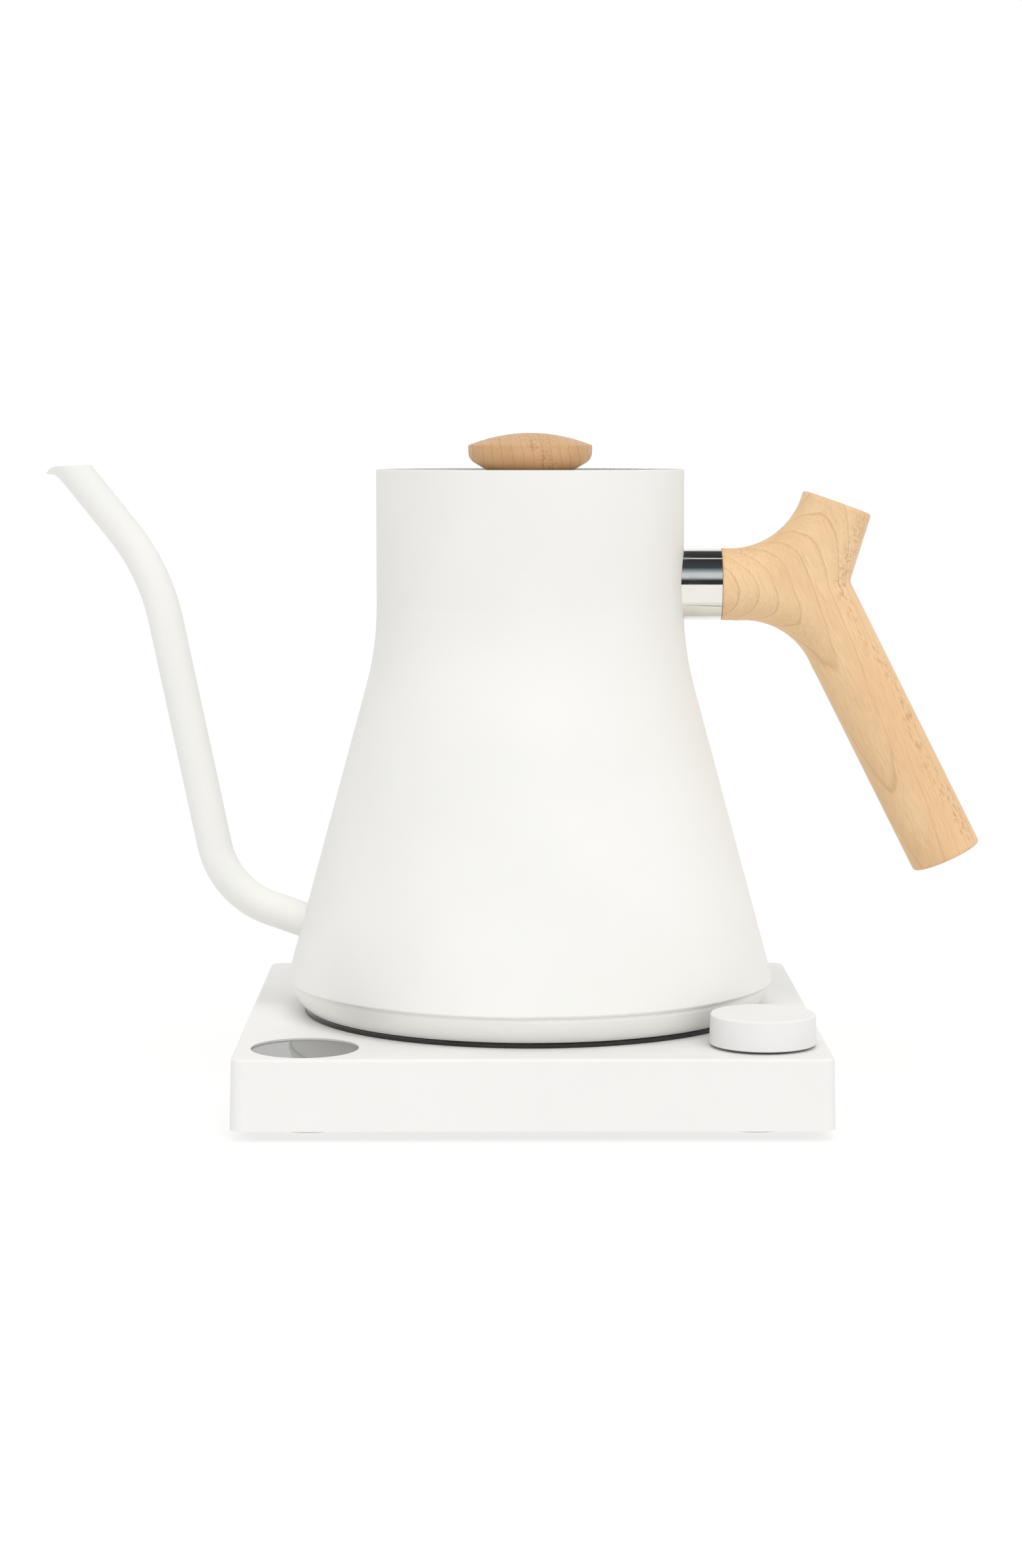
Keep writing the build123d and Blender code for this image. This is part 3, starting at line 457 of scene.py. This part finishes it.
# %% Black gloss
def make_black_gloss(name, colour, dusty, roughness):
    material, tree, shader, place = new_material(name)
    marks = use_group(tree, handling_marks, Vector=place, Stretch=(1.0, 0.12, 1.0), Scale=1500.0)
    skin = use_group(tree, fine_skin, Vector=place, Grain_size=0.0004, Mottle_size=0.02)
    dust = remap(tree, skin["Height"], 0.98, 1.08)
    veil = math_node(tree, "ADD", math_node(tree, "MULTIPLY", marks["Smudges"], 0.18),
                     math_node(tree, "MULTIPLY", dust, 0.5), clamp=True)
    tree.links.new(blend_colours(tree, veil, colour, dusty), shader["Base Color"])
    smear = math_node(tree, "MAXIMUM", marks["Smudges"], marks["Scratches"])
    tree.links.new(remap(tree, smear, 0.0, 1.0, *roughness), shader["Roughness"])
    bump(tree, shader, marks["Lines"], 0.02, 0.00003)
    return material


gloss_black = make_black_gloss("gloss_black", grey(0.012), grey(0.05), (0.07, 0.16))
display_glass = make_black_gloss("display_glass", (0.16, 0.16, 0.152, 1), grey(0.2), (0.02, 0.05))
print("black gloss made")

# %% [markdown]
# ## Finish: metals
#
# The tube between body and grip is polished and plated, so it mirrors the room in sharp bands
# that run along it. Screws, contacts and the water side of the kettle are plainer: brushed or
# rolled metal, whose fine parallel lines spread the light across them.

# %% Metals
def make_metal(name, light, deep, roughness, stretch, scale=1500.0, relief=0.05):
    material, tree, shader, place = new_material(name)
    marks = use_group(tree, handling_marks, Vector=place, Stretch=stretch, Scale=scale)
    tree.links.new(blend_colours(tree, marks["Smudges"], light, deep), shader["Base Color"])
    low, high = roughness
    wear = math_node(tree, "ADD", math_node(tree, "MULTIPLY", marks["Lines"], 0.5),
                     math_node(tree, "MULTIPLY", math_node(tree, "MAXIMUM", marks["Smudges"], marks["Scratches"]), 0.5))
    tree.links.new(remap(tree, wear, 0.15, 0.85, low, high), shader["Roughness"])
    shader["Metallic"].default_value = 1.0
    bump(tree, shader, marks["Lines"], relief, 0.00003)
    return material


polished = make_metal("polished", (0.84, 0.82, 0.765, 1), (0.76, 0.75, 0.71, 1), (0.02, 0.17), (0.25, 1, 1), relief=0.03)
inner_steel = make_metal("inner_steel", STEEL, (0.5, 0.495, 0.48, 1), (0.2, 0.42), (0.05, 1, 1), 2600.0)
screw_steel = make_metal("screw_steel", (0.5, 0.5, 0.51, 1), (0.4, 0.4, 0.41, 1), (0.25, 0.45), (1, 1, 0.2))
cast_aluminium = make_metal("cast_aluminium", (0.68, 0.68, 0.69, 1), (0.58, 0.58, 0.59, 1), (0.4, 0.6), (1, 1, 1), 700.0, 0.2)
brass = make_metal("brass", (0.72, 0.52, 0.22, 1), (0.6, 0.41, 0.16, 1), (0.2, 0.4), (1, 1, 0.3))
print("metals made")

# %% [markdown]
# ## Finish: circuit board
#
# Nobody sees the boards until the base is opened, but they are what they are: green laminate
# with copper tracks under the lacquer. A brick pattern in the board's plane gives tracks that run
# square to each other.

# %% Circuit board
def make_circuit_board():
    material, tree, shader, place = new_material("circuit_board")
    tracks = wire(tree, "ShaderNodeTexBrick", Vector=place, Scale=120.0, Mortar_Size=0.06,
                  Color1=(0.01, 0.11, 0.05, 1), Color2=(0.012, 0.13, 0.06, 1), Mortar=(0.05, 0.24, 0.1, 1))
    skin = use_group(tree, fine_skin, Vector=place, Grain_size=0.0006, Mottle_size=0.02)
    tree.links.new(blend_colours(tree, skin["Mottle"], tracks.outputs["Color"], (0.008, 0.09, 0.04, 1)),
                   shader["Base Color"])
    tree.links.new(remap(tree, skin["Gloss"], 0.0, 1.0, 0.3, 0.45), shader["Roughness"])
    bump(tree, shader, tracks.outputs["Fac"], 0.3, 0.00004)
    return material


circuit_board = make_circuit_board()
print("circuit board made")

# %% [markdown]
# ## Finish: oiled maple
#
# Maple is pale and even, so its drawing has to stay quiet: thin brown ring lines, a slow change
# of tone between them, silky fibres and small flecks. The grip and the lid knob are cut from
# the same wood in different ways, so one maker takes the direction of the rings. In the grip the
# grain runs down the long limb, and the rings lean out towards the front. The knob is cut across
# the board, so its side shows the rings as upright lines.

# %% Maple
def make_maple(name, rings, grain, ring_width, phase, waviness, tint=(1.0, 1.0, 1.0), drawing=1.0):
    rings, grain = Vector(rings).normalized(), Vector(grain).normalized()
    material, tree, shader, place = new_material(name)
    wood = use_group(tree, maple_grain, Vector=place, Ring_direction=rings, Grain_direction=grain,
                     Ring_width=ring_width, Phase=phase, Waviness=waviness)
    pale, tan, brown = (tuple(a * b for a, b in zip(colour, tint)) + (1.0,)
                        for colour in ((0.86, 0.605, 0.355), (0.77, 0.505, 0.275), (0.40, 0.205, 0.08)))
    colour = blend_colours(tree, remap(tree, wood["Cloud"], 0.3, 0.7), pale, tan)
    colour = blend_colours(tree, math_node(tree, "MULTIPLY", wood["Band"], 0.28), colour, tan)
    fibre = remap(tree, wood["Fibre"], 0.35, 0.75, 0.0, 0.22)
    colour = blend_colours(tree, fibre, colour, brown)
    colour = blend_colours(tree, math_node(tree, "MULTIPLY", wood["Line"], 0.3 * drawing), colour, brown)
    colour = blend_colours(tree, math_node(tree, "MULTIPLY", wood["Fleck"], 0.4), colour, brown)
    tree.links.new(colour, shader["Base Color"])
    tree.links.new(remap(tree, wood["Fibre"], 0.3, 0.8, 0.48, 0.36), shader["Roughness"])
    shader["Specular IOR Level"].default_value = 0.4
    pores = math_node(tree, "SUBTRACT", wood["Fibre"], math_node(tree, "MULTIPLY", wood["Fleck"], 1.5))
    bump(tree, shader, pores, 0.14, 0.00008)
    return material


GRIP_LEAN = math.radians(26.8)
RING_LEAN = math.radians(54.0)
grip_line = Vector((math.sin(GRIP_LEAN), 0, -math.cos(GRIP_LEAN)))
across_grip = Vector((math.cos(GRIP_LEAN), 0, math.sin(GRIP_LEAN)))
grip_rings = across_grip * math.cos(RING_LEAN) + Vector((0, math.sin(RING_LEAN), 0)) + grip_line * 0.077
maple_grip = make_maple("maple_grip", grip_rings, grip_line, 0.0032, 0.2, 1.0)
maple_knob = make_maple("maple_knob", (1, 0.05, 0.12), (0, 1, 0.1), 0.0029, 0.3, 0.8, (0.825, 0.755, 0.68), 1.5)
print("maple made, rings face", [round(c, 2) for c in grip_rings.normalized()])

# %% [markdown]
# ## The grip
#
# The handle is one piece of maple: a short neck, a long grip that hangs down and out, and a horn
# that rises the other way. All three are round rods of one thickness that meet at the fork, and a
# web fills the corner between neck and grip, and between neck and horn, in an arc.
#
# Rods joined by booleans keep hard creases, but a carver sands them away. So the form is written
# as a distance: how far a point is from the flat shape that runs through the middle of the wood,
# then from the skin around it. Distances can be blended, which gives exactly the soft edges of
# sandpaper. The skin is where the distance is zero, and a fine cubic lattice finds it.

# %% The grip as a distance
GRIP_R = 11.1
FORK = np.array((86.9, 132.2))
NECK_START = np.array((FERRULE_END_X, 132.2))
GRIP_END = np.array((129.85, 47.67))
HORN_END = np.array((94.7, 157.4))
GRIP_CUT = math.radians(25.2)
HORN_CUT = math.radians(19.6)
WEB_R = 23.0
CREASE_R = 0.7
CROTCH_BLEND = 0.7
END_EDGE_R = 0.5


def soft_max(a, b, k):
    """The larger of two distances, with the crease between them rounded off by about k."""
    h = np.clip(0.5 + 0.5 * (a - b) / k, 0, 1)
    return b * (1 - h) + a * h + k * h * (1 - h)


def soft_min(a, b, k):
    return -soft_max(-a, -b, k)


def to_segment(x, z, a, b):
    """Flat distance to a line that goes on past b, since the end planes cut it there."""
    d = (b - a) / np.linalg.norm(b - a)
    along = np.maximum((x - a[0]) * d[0] + (z - a[1]) * d[1], 0)
    return np.hypot(x - a[0] - d[0] * along, z - a[1] - d[1] * along)


def web(x, z, a, b):
    """Flat distance to the filled corner between the limbs towards a and b."""
    u, v = ((p - FORK) / np.linalg.norm(p - FORK) for p in (a, b))
    half = math.acos(np.clip(u @ v, -1, 1)) / 2
    arc = WEB_R + GRIP_R
    centre = FORK + (u + v) / np.linalg.norm(u + v) * arc / math.sin(half)
    touch = arc / math.tan(half)
    px, pz = x - FORK[0], z - FORK[1]
    out_u = -(px * (v[0] - (u @ v) * u[0]) + pz * (v[1] - (u @ v) * u[1])) / math.sin(2 * half)
    out_v = -(px * (u[0] - (u @ v) * v[0]) + pz * (u[1] - (u @ v) * v[1])) / math.sin(2 * half)
    inside_arc = arc - np.hypot(x - centre[0], z - centre[1])
    middle = (u + v) / np.linalg.norm(u + v)
    beyond = px * middle[0] + pz * middle[1] - touch * math.cos(half)
    return np.maximum(np.maximum(np.maximum(out_u, out_v), np.maximum(inside_arc, beyond)), 0)


def grip_distance(p):
    """Millimetres outside the carved wood, negative inside, for points about the kettle's axis."""
    x, y, z = p[..., 0], p[..., 1], p[..., 2]
    flat = np.maximum(soft_min(to_segment(x, z, FORK, GRIP_END), to_segment(x, z, FORK, HORN_END), CROTCH_BLEND), 0)
    flat = np.minimum(flat, to_segment(x, z, FORK, NECK_START))
    flat = np.minimum(flat, np.minimum(web(x, z, NECK_START, GRIP_END), web(x, z, NECK_START, HORN_END)))
    skin = np.hypot(flat, y) - GRIP_R
    lower = (x - GRIP_END[0]) * math.sin(GRIP_CUT) - (z - GRIP_END[1]) * math.cos(GRIP_CUT)
    upper = (x - HORN_END[0]) * math.sin(HORN_CUT) + (z - HORN_END[1]) * math.cos(HORN_CUT)
    skin = soft_max(soft_max(skin, lower, END_EDGE_R), upper, END_EDGE_R)
    return soft_max(skin, NECK_START[0] - x, 0.3)


def smoothed(p):
    """The same distance averaged over a small ball, which sands the creases at the fork."""
    total = 2.0 * grip_distance(p)
    for axis in range(3):
        for side in (-CREASE_R, CREASE_R):
            total += grip_distance(p + side * np.eye(3)[axis])
    return total / 8.0


# %% [markdown]
# A surface net turns the distance into a mesh. Each lattice cell that the skin passes through
# gets one point, and neighbouring cells are joined by quads. The points are then moved straight
# along the distance's own slope until they lie on the skin exactly, so no stair steps are left.

# %% The grip as a mesh
def skin_of(distance, low, high, step):
    """Points and quads of the surface where distance is zero."""
    count = np.ceil((high - low) / step).astype(int) + 1
    axes = [low[i] + step * np.arange(count[i]) for i in range(3)]
    field = distance(np.stack(np.meshgrid(*axes, indexing="ij"), -1))
    inside = field < 0
    n = count - 1
    corners = sum(inside[i:i + n[0], j:j + n[1], k:k + n[2]].astype(int)
                  for i in (0, 1) for j in (0, 1) for k in (0, 1))
    crossed = (corners > 0) & (corners < 8)
    index = np.full(n, -1)
    index[crossed] = np.arange(crossed.sum())
    points = low + step * (np.argwhere(crossed) + 0.5)
    quads = []
    for axis in range(3):
        b, c = (axis + 1) % 3, (axis + 2) % 3
        first = np.moveaxis(inside, (axis, b, c), (0, 1, 2))
        cells = np.moveaxis(index, (axis, b, c), (0, 1, 2))
        here, there = first[:-1, 1:-1, 1:-1], first[1:, 1:-1, 1:-1]
        for flip, edges in ((False, here & ~there), (True, ~here & there)):
            i, j, k = np.nonzero(edges)
            loop = [cells[i, j, k], cells[i, j + 1, k], cells[i, j + 1, k + 1], cells[i, j, k + 1]]
            quads.append(np.stack(loop[::-1] if flip else loop, 1))
    for _ in range(6):
        value = distance(points)
        slope = np.stack([(distance(points + 0.02 * e) - distance(points - 0.02 * e)) / 0.04 for e in np.eye(3)], -1)
        length = np.maximum((slope ** 2).sum(-1), 0.2)
        points = points - slope * (value / length)[:, None] * 0.9
    return points, np.concatenate(quads)


def make_grip():
    low = np.array((FERRULE_END_X - 2.0, -13.0, 40.0))
    high = np.array((146.0, 13.0, 172.0))
    points, quads = skin_of(smoothed, low, high, 0.7)
    mesh = bpy.data.meshes.new("grip")
    mesh.from_pydata([at(*p) for p in points], [], quads.tolist())
    mesh.validate()
    return add_object("grip", mesh, "kettle", maple_grip, sharp=50.0)


grip = make_grip()
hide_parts("handle")

# %% [markdown]
# ## The spout
#
# The spout is a thin steel tube that leaves the body low down, turns up, and leans away again in
# a long slow bend. Its centre line is two tight-to-slow arcs between straight runs. The last
# centimetre is what makes it pour well: the front of the tube curls outward into a lip, while the
# rim behind stays level, so the stream breaks cleanly.
#
# The tube is swept here rather than taken from the CAD because of that lip. Each ring of points is
# the round tube, pushed forward near the front by an amount that grows quickly towards the end.
# The rings near the rim also tilt, until the last lies in the rim's level plane.

# %% The spout's centre line
SPOUT_R = 5.35
SPOUT_WALL = 0.8
SPOUT_POINTS = [Vector((-60.0, 24.0)), Vector((-95.15, 36.3)), Vector((-115.8, 136.5)), Vector((-139.45, 166.25))]
SPOUT_BENDS = (27.0, 66.0)


def centre_line(points, radii, step_degrees=2.5):
    """Points along straight runs joined by arcs, as (place, direction) pairs."""
    line = [(points[0], (points[1] - points[0]).normalized())]
    for before, corner, after, radius in zip(points, points[1:], points[2:], radii):
        a, b = (corner - before).normalized(), (after - corner).normalized()
        turn = a.angle_signed(b)
        start = corner - a * radius * math.tan(abs(turn) / 2)
        steps = math.ceil(math.degrees(abs(turn)) / step_degrees)
        side = Vector((a.y, -a.x)) * math.copysign(1, turn)
        for k in range(steps + 1):
            angle = -turn * k / steps
            direction = Vector((a.x * math.cos(angle) - a.y * math.sin(angle),
                                a.x * math.sin(angle) + a.y * math.cos(angle)))
            out = Vector((side.x * math.cos(angle) - side.y * math.sin(angle),
                          side.x * math.sin(angle) + side.y * math.cos(angle)))
            line.append((start + side * radius - out * radius, direction))
    return line


spout_line = centre_line(SPOUT_POINTS, SPOUT_BENDS)
print("spout line turns from", [round(c, 2) for c in spout_line[0][1]], "to", [round(c, 2) for c in spout_line[-1][1]])

# %% The spout as a mesh
LIP_FLARE = 4.5
LIP_REACH = 2.35
RIM_BACK_Z, RIM_FRONT_Z, TIP_Z = 168.9, 168.4, 166.2
TIP_R = 5.0
SPOUT_SIDES = 72


def spout_radius(z, wall=0.0):
    """The tube narrows a little along its last run."""
    share = min(max((z - 120.0) / (SPOUT_POINTS[-1].y - 120.0), 0.0), 1.0)
    return SPOUT_R + (TIP_R - SPOUT_R) * share - wall


def spout_ring(place, direction, wall):
    """One ring of the tube. Side 0 is the front, away from the kettle."""
    front = Vector((-direction.y, direction.x))
    radius = spout_radius(place.y, wall)
    ring = []
    for i in range(SPOUT_SIDES):
        angle = 2 * math.pi * i / SPOUT_SIDES
        x, z = place + front * math.cos(angle) * radius
        ring.append([x, math.sin(angle) * radius, z])
    return ring


def lip_rings(wall, rows=16):
    """The last rings: the round tube, its front curling out, up to the rim's own line."""
    place, direction = spout_line[-1]
    front = Vector((-direction.y, direction.x))
    radius = spout_radius(place.y, wall)
    rings = [[] for _ in range(rows + 1)]
    for i in range(SPOUT_SIDES):
        angle = 2 * math.pi * i / SPOUT_SIDES
        ahead, aside = math.cos(angle), math.sin(angle)
        beak = max((ahead - 0.5) / 0.5, 0.0)
        rim_z = RIM_BACK_Z + (RIM_FRONT_Z - RIM_BACK_Z) * (ahead + 1) / 2 - (RIM_FRONT_Z - TIP_Z) * beak ** 2
        push = LIP_REACH * max(ahead, 0.0) ** 3
        base = place + front * ahead * radius
        length = (rim_z - base.y - front.y * push) / direction.y
        for row in range(rows + 1):
            along = length * row / rows
            flare = max(0.0, (along - length + LIP_FLARE) / LIP_FLARE)
            point = base + direction * along + front * (push * flare ** 2.4)
            rings[row].append([point.x, aside * radius, point.y])
    return rings


def cone_radius(z):
    """The outside of the body at that height, where the spout meets it."""
    return shell_radius_low + (z - SPOUT_POINTS[0].y) * shell_slope


def make_spout():
    root_place, root_direction = spout_line[0]
    skins = []
    for wall in (0.0, SPOUT_WALL):
        skin = [spout_ring(p, d, wall) for p, d in spout_line[1:]] + lip_rings(wall)[1:]
        root = spout_ring(root_place, root_direction, wall)
        for point in root:
            for _ in range(8):
                reach = math.hypot(point[0], point[1]) - (cone_radius(point[2]) - 0.4)
                point[0] -= root_direction.x * reach / abs(root_direction.x)
                point[2] -= root_direction.y * reach / abs(root_direction.x)
        skins.append([root] + skin)
    loop = skins[0] + skins[1][::-1]
    build = bmesh.new()
    rings = [[build.verts.new(at(*p)) for p in ring] for ring in loop]
    for upper, lower in zip(rings, rings[1:] + rings[:1]):
        for i in range(SPOUT_SIDES):
            j = (i + 1) % SPOUT_SIDES
            build.faces.new((upper[i], upper[j], lower[j], lower[i]))
    bmesh.ops.recalc_face_normals(build, faces=build.faces)
    mesh = bpy.data.meshes.new("pouring_spout")
    build.to_mesh(mesh)
    build.free()
    return add_object("pouring_spout", mesh, "kettle", powder_coat, sharp=40.0)


def measure_cone():
    """The body's outside radius and slope near the spout's root, from the CAD shell's points."""
    points = np.array([v.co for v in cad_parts["kettle_shell"].data.vertices]) / MM - (AXIS_X, 0, BASE_TOP)
    radius = np.hypot(points[:, 0], points[:, 1])
    samples = []
    for low in (22.0, 98.0):
        band = (points[:, 2] > low - 14) & (points[:, 2] < low + 14)
        best = np.argmax(radius[band] + 0.27 * points[band, 2])
        samples.append((points[band, 2][best], radius[band][best]))
    (z0, r0), (z1, r1) = samples
    return r0 + (SPOUT_POINTS[0].y - z0) * (r1 - r0) / (z1 - z0), (r1 - r0) / (z1 - z0)


shell_radius_low, shell_slope = measure_cone()
print("body radius at the spout", round(shell_radius_low, 2), "slope", round(shell_slope, 4))
pouring_spout = make_spout()
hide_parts("spout")

# %% [markdown]
# ## The lid knob
#
# The knob is turned on a lathe from a maple disc: a low dome, a crisp but broken edge, an upright
# side, and a round shoulder that runs in to a narrower foot, where fingertips get under it. Each
# corner has its own rounding, as a turner would leave it after sanding.

# %% The knob
DISC_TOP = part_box("lid_disc")[1].z / MM - BASE_TOP
KNOB_R = 19.1
KNOB_TOP = 178.7
KNOB_EDGE = 174.9
dome = [(KNOB_R * s, KNOB_TOP - (KNOB_TOP - KNOB_EDGE) * s ** 2.0, 0) for s in (0, 0.12, 0.25, 0.37, 0.49, 0.6, 0.7, 0.79, 0.87, 0.93)]
knob_outline = dome + [(KNOB_R, KNOB_EDGE, 0.5), (KNOB_R - 0.05, 170.6, 4.0), (12.0, DISC_TOP, 0), (0, DISC_TOP, 0)]
knob = lathe("knob", knob_outline, "lid", maple_knob, sharp=40.0)
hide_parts("lid_knob")

# %% [markdown]
# ## The finishes on the CAD's own parts
#
# The other parts are used as the CAD made them: they are plain turned and moulded forms with
# their own rounded edges. Each gets its finish by name, the hidden ones too, so the kettle can be
# lifted off and opened up without showing a bare part.

# %% Finishes by part
finishes = [
    (powder_coat_body, ["kettle_shell"]),
    (powder_coat, ["spout", "lid_disc"]),
    (base_white, ["base_housing"]),
    (dial_white, ["control_dial"]),
    (skirt_cream, ["skirt_ring"]),
    (gloss_black, ["dock_plate", "power_socket", "kettle_plug", "kettle_cover", "lcd_panel"]),
    (display_glass, ["display_lens"]),
    (dark_moulding, ["base_cover", "board_posts", "switch_body", "switch_slider", "encoder_rotor",
                     "cover_posts", "handle_washer"]),
    (part_plastic, ["power_relay", "supply_module", "terminal_block"]),
    (circuit_board, ["main_board", "display_board", "encoder_board"]),
    (rubber, ["cord_gland"]),
    (silicone, ["rubber_feet", "sensor_seal", "lid_gasket"]),
    (inner_steel, ["kettle_floor", "heating_element", "temperature_sensor", "lid_cup"]),
    (screw_steel, ["base_screws", "encoder_body", "encoder_shaft", "cover_screws", "handle_stud",
                   "lid_washer", "lid_screw"]),
    (polished, ["handle_ferrule"]),
    (cast_aluminium, ["heater_plate"]),
    (brass, ["socket_contacts", "plug_contacts", "handle_insert", "lid_insert"]),
    (maple_grip, ["handle"]),
    (maple_knob, ["lid_knob"]),
]
dressed = set()
for material, names in finishes:
    for name in names:
        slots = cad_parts[name].data.materials
        slots.clear()
        slots.append(material)
        dressed.add(name)
print("parts without a finish:", sorted(set(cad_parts) - dressed))

# %% [markdown]
# ## The studio
#
# The kettle stands on a wide white table that runs out to a white background. The world is white
# to the camera and a little dimmer as a light, so it fills every shadow softly. A large soft
# lamp high on the right gives the body its slow change from light to shade.
#
# The polished tube mirrors the studio, so the studio has to have something in it: dark walls with
# bright panels between. Those cards only show in reflections. They throw no light and no shadow,
# so they shape the metal without changing the paint.

# %% Floor and background
TABLE_GLOW = 0.81
TABLE_ALBEDO = 0.19


def make_floor():
    material, tree, shader, place = new_material("white_table")
    skin = use_group(tree, fine_skin, Vector=place, Grain_size=0.002, Mottle_size=0.2)
    tree.links.new(blend_colours(tree, skin["Mottle"], grey(TABLE_ALBEDO), grey(TABLE_ALBEDO * 0.98)),
                   shader["Base Color"])
    shader["Emission Color"].default_value = grey(1.0, 0.004)
    shader["Emission Strength"].default_value = TABLE_GLOW
    shader["Roughness"].default_value = 0.7
    shader["Specular IOR Level"].default_value = 0.0
    bump(tree, shader, skin["Height"], 0.02, 0.0001)
    mesh = bpy.data.meshes.new("floor")
    reach = 6.0
    mesh.from_pydata([(-reach, -reach, 0), (reach, -reach, 0), (reach, reach, 0), (-reach, reach, 0)], [], [(0, 1, 2, 3)])
    mesh.materials.append(material)
    floor = bpy.data.objects.new("floor", mesh)
    bpy.context.scene.collection.objects.link(floor)


WORLD_LIGHT = 0.72


def make_world():
    world = bpy.data.worlds.new("studio")
    world.use_nodes = True
    bpy.context.scene.world = world
    tree = world.node_tree
    background = tree.nodes["Background"]
    background.inputs["Color"].default_value = (1.0, 0.995, 0.985, 1)
    path = wire(tree, "ShaderNodeLightPath").outputs
    seen = math_node(tree, "MAXIMUM", path["Is Camera Ray"], path["Is Glossy Ray"])
    tree.links.new(remap(tree, seen, 0, 1, WORLD_LIGHT, 1.03), background.inputs["Strength"])
    bpy.context.scene.view_settings.view_transform = "Standard"


make_floor()
make_world()


# %% Lamps
def add_lamp(name, strength, softness, azimuth, elevation, colour=(1, 1, 1)):
    """A far-off lamp. Azimuth is degrees to the right of straight ahead of the kettle; softness is its width in degrees."""
    data = bpy.data.lights.new(name, "SUN")
    data.energy = strength
    data.angle = math.radians(softness)
    data.color = colour
    lamp = bpy.data.objects.new(name, data)
    bpy.context.scene.collection.objects.link(lamp)
    a, e = math.radians(azimuth), math.radians(elevation)
    towards = Vector((math.sin(a) * math.cos(e), -math.cos(a) * math.cos(e), math.sin(e)))
    lamp.rotation_euler = towards.to_track_quat("Z", "Y").to_euler()
    lamp.visible_glossy = False
    print(name, "shines from", [round(c, 2) for c in towards])


add_lamp("key", 1.45, 50.0, 12.0, 58.0, (1.0, 0.995, 0.985))


# %% Reflected room
def make_room(reach=1.6, half_width=1.6, bands=()):
    """A long arch over the kettle that only shows in reflections, dark and light in bands.

    Each band stop is (degrees up from straight ahead, colour)."""
    material = bpy.data.materials.new("reflected_room")
    material.use_nodes = True
    tree = material.node_tree
    tree.nodes.remove(tree.nodes["Principled BSDF"])
    centre = at(0, 0, 132)
    place = tree.nodes.new("ShaderNodeTexCoord").outputs["Object"]
    about = wire(tree, "ShaderNodeSeparateXYZ", Vector=vector_node(tree, "SUBTRACT", place, tuple(centre))).outputs
    toward = math_node(tree, "MULTIPLY", about["Y"], -1.0)
    angle = math_node(tree, "DIVIDE", math_node(tree, "ARCTAN2", about["Z"], toward), math.pi)
    ramp = tree.nodes.new("ShaderNodeValToRGB")
    stops = ramp.color_ramp.elements
    for k, (degrees, colour) in enumerate(bands):
        stop = stops[k] if k < 2 else stops.new(degrees / 180)
        stop.position, stop.color = degrees / 180, (*colour, 1.0)
    tree.links.new(angle, ramp.inputs[0])
    light = wire(tree, "ShaderNodeEmission", Color=ramp.outputs[0], Strength=1.0)
    tree.links.new(light.outputs[0], tree.nodes["Material Output"].inputs["Surface"])
    corners, quads = [], []
    for k in range(49):
        a = math.radians(1.0 + 145.0 * k / 48)
        for side in (-1, 1):
            corners.append(centre + Vector((side * half_width, -math.cos(a) * reach, math.sin(a) * reach)))
        if k:
            quads.append((2 * k - 2, 2 * k - 1, 2 * k + 1, 2 * k))
    mesh = bpy.data.meshes.new("reflected_room")
    mesh.from_pydata(corners, [], quads)
    mesh.materials.append(material)
    room = bpy.data.objects.new("reflected_room", mesh)
    bpy.context.scene.collection.objects.link(room)
    room.visible_camera = room.visible_diffuse = room.visible_shadow = False
    room.visible_transmission = room.visible_volume_scatter = False


DARK, GLOOM, PANEL, HAZE = (0.035, 0.035, 0.04), (0.06, 0.07, 0.08), (0.66, 0.71, 0.74), (0.3, 0.37, 0.43)
SLIT, WHITE = (0.85, 0.85, 0.83), (1, 1, 0.98)
make_room(bands=(
    (0, DARK), (15, DARK), (25, PANEL), (36, PANEL), (46, HAZE), (56, GLOOM), (91, DARK), (92.5, SLIT), (95.5, SLIT),
    (97, DARK), (136, GLOOM), (142, WHITE)))
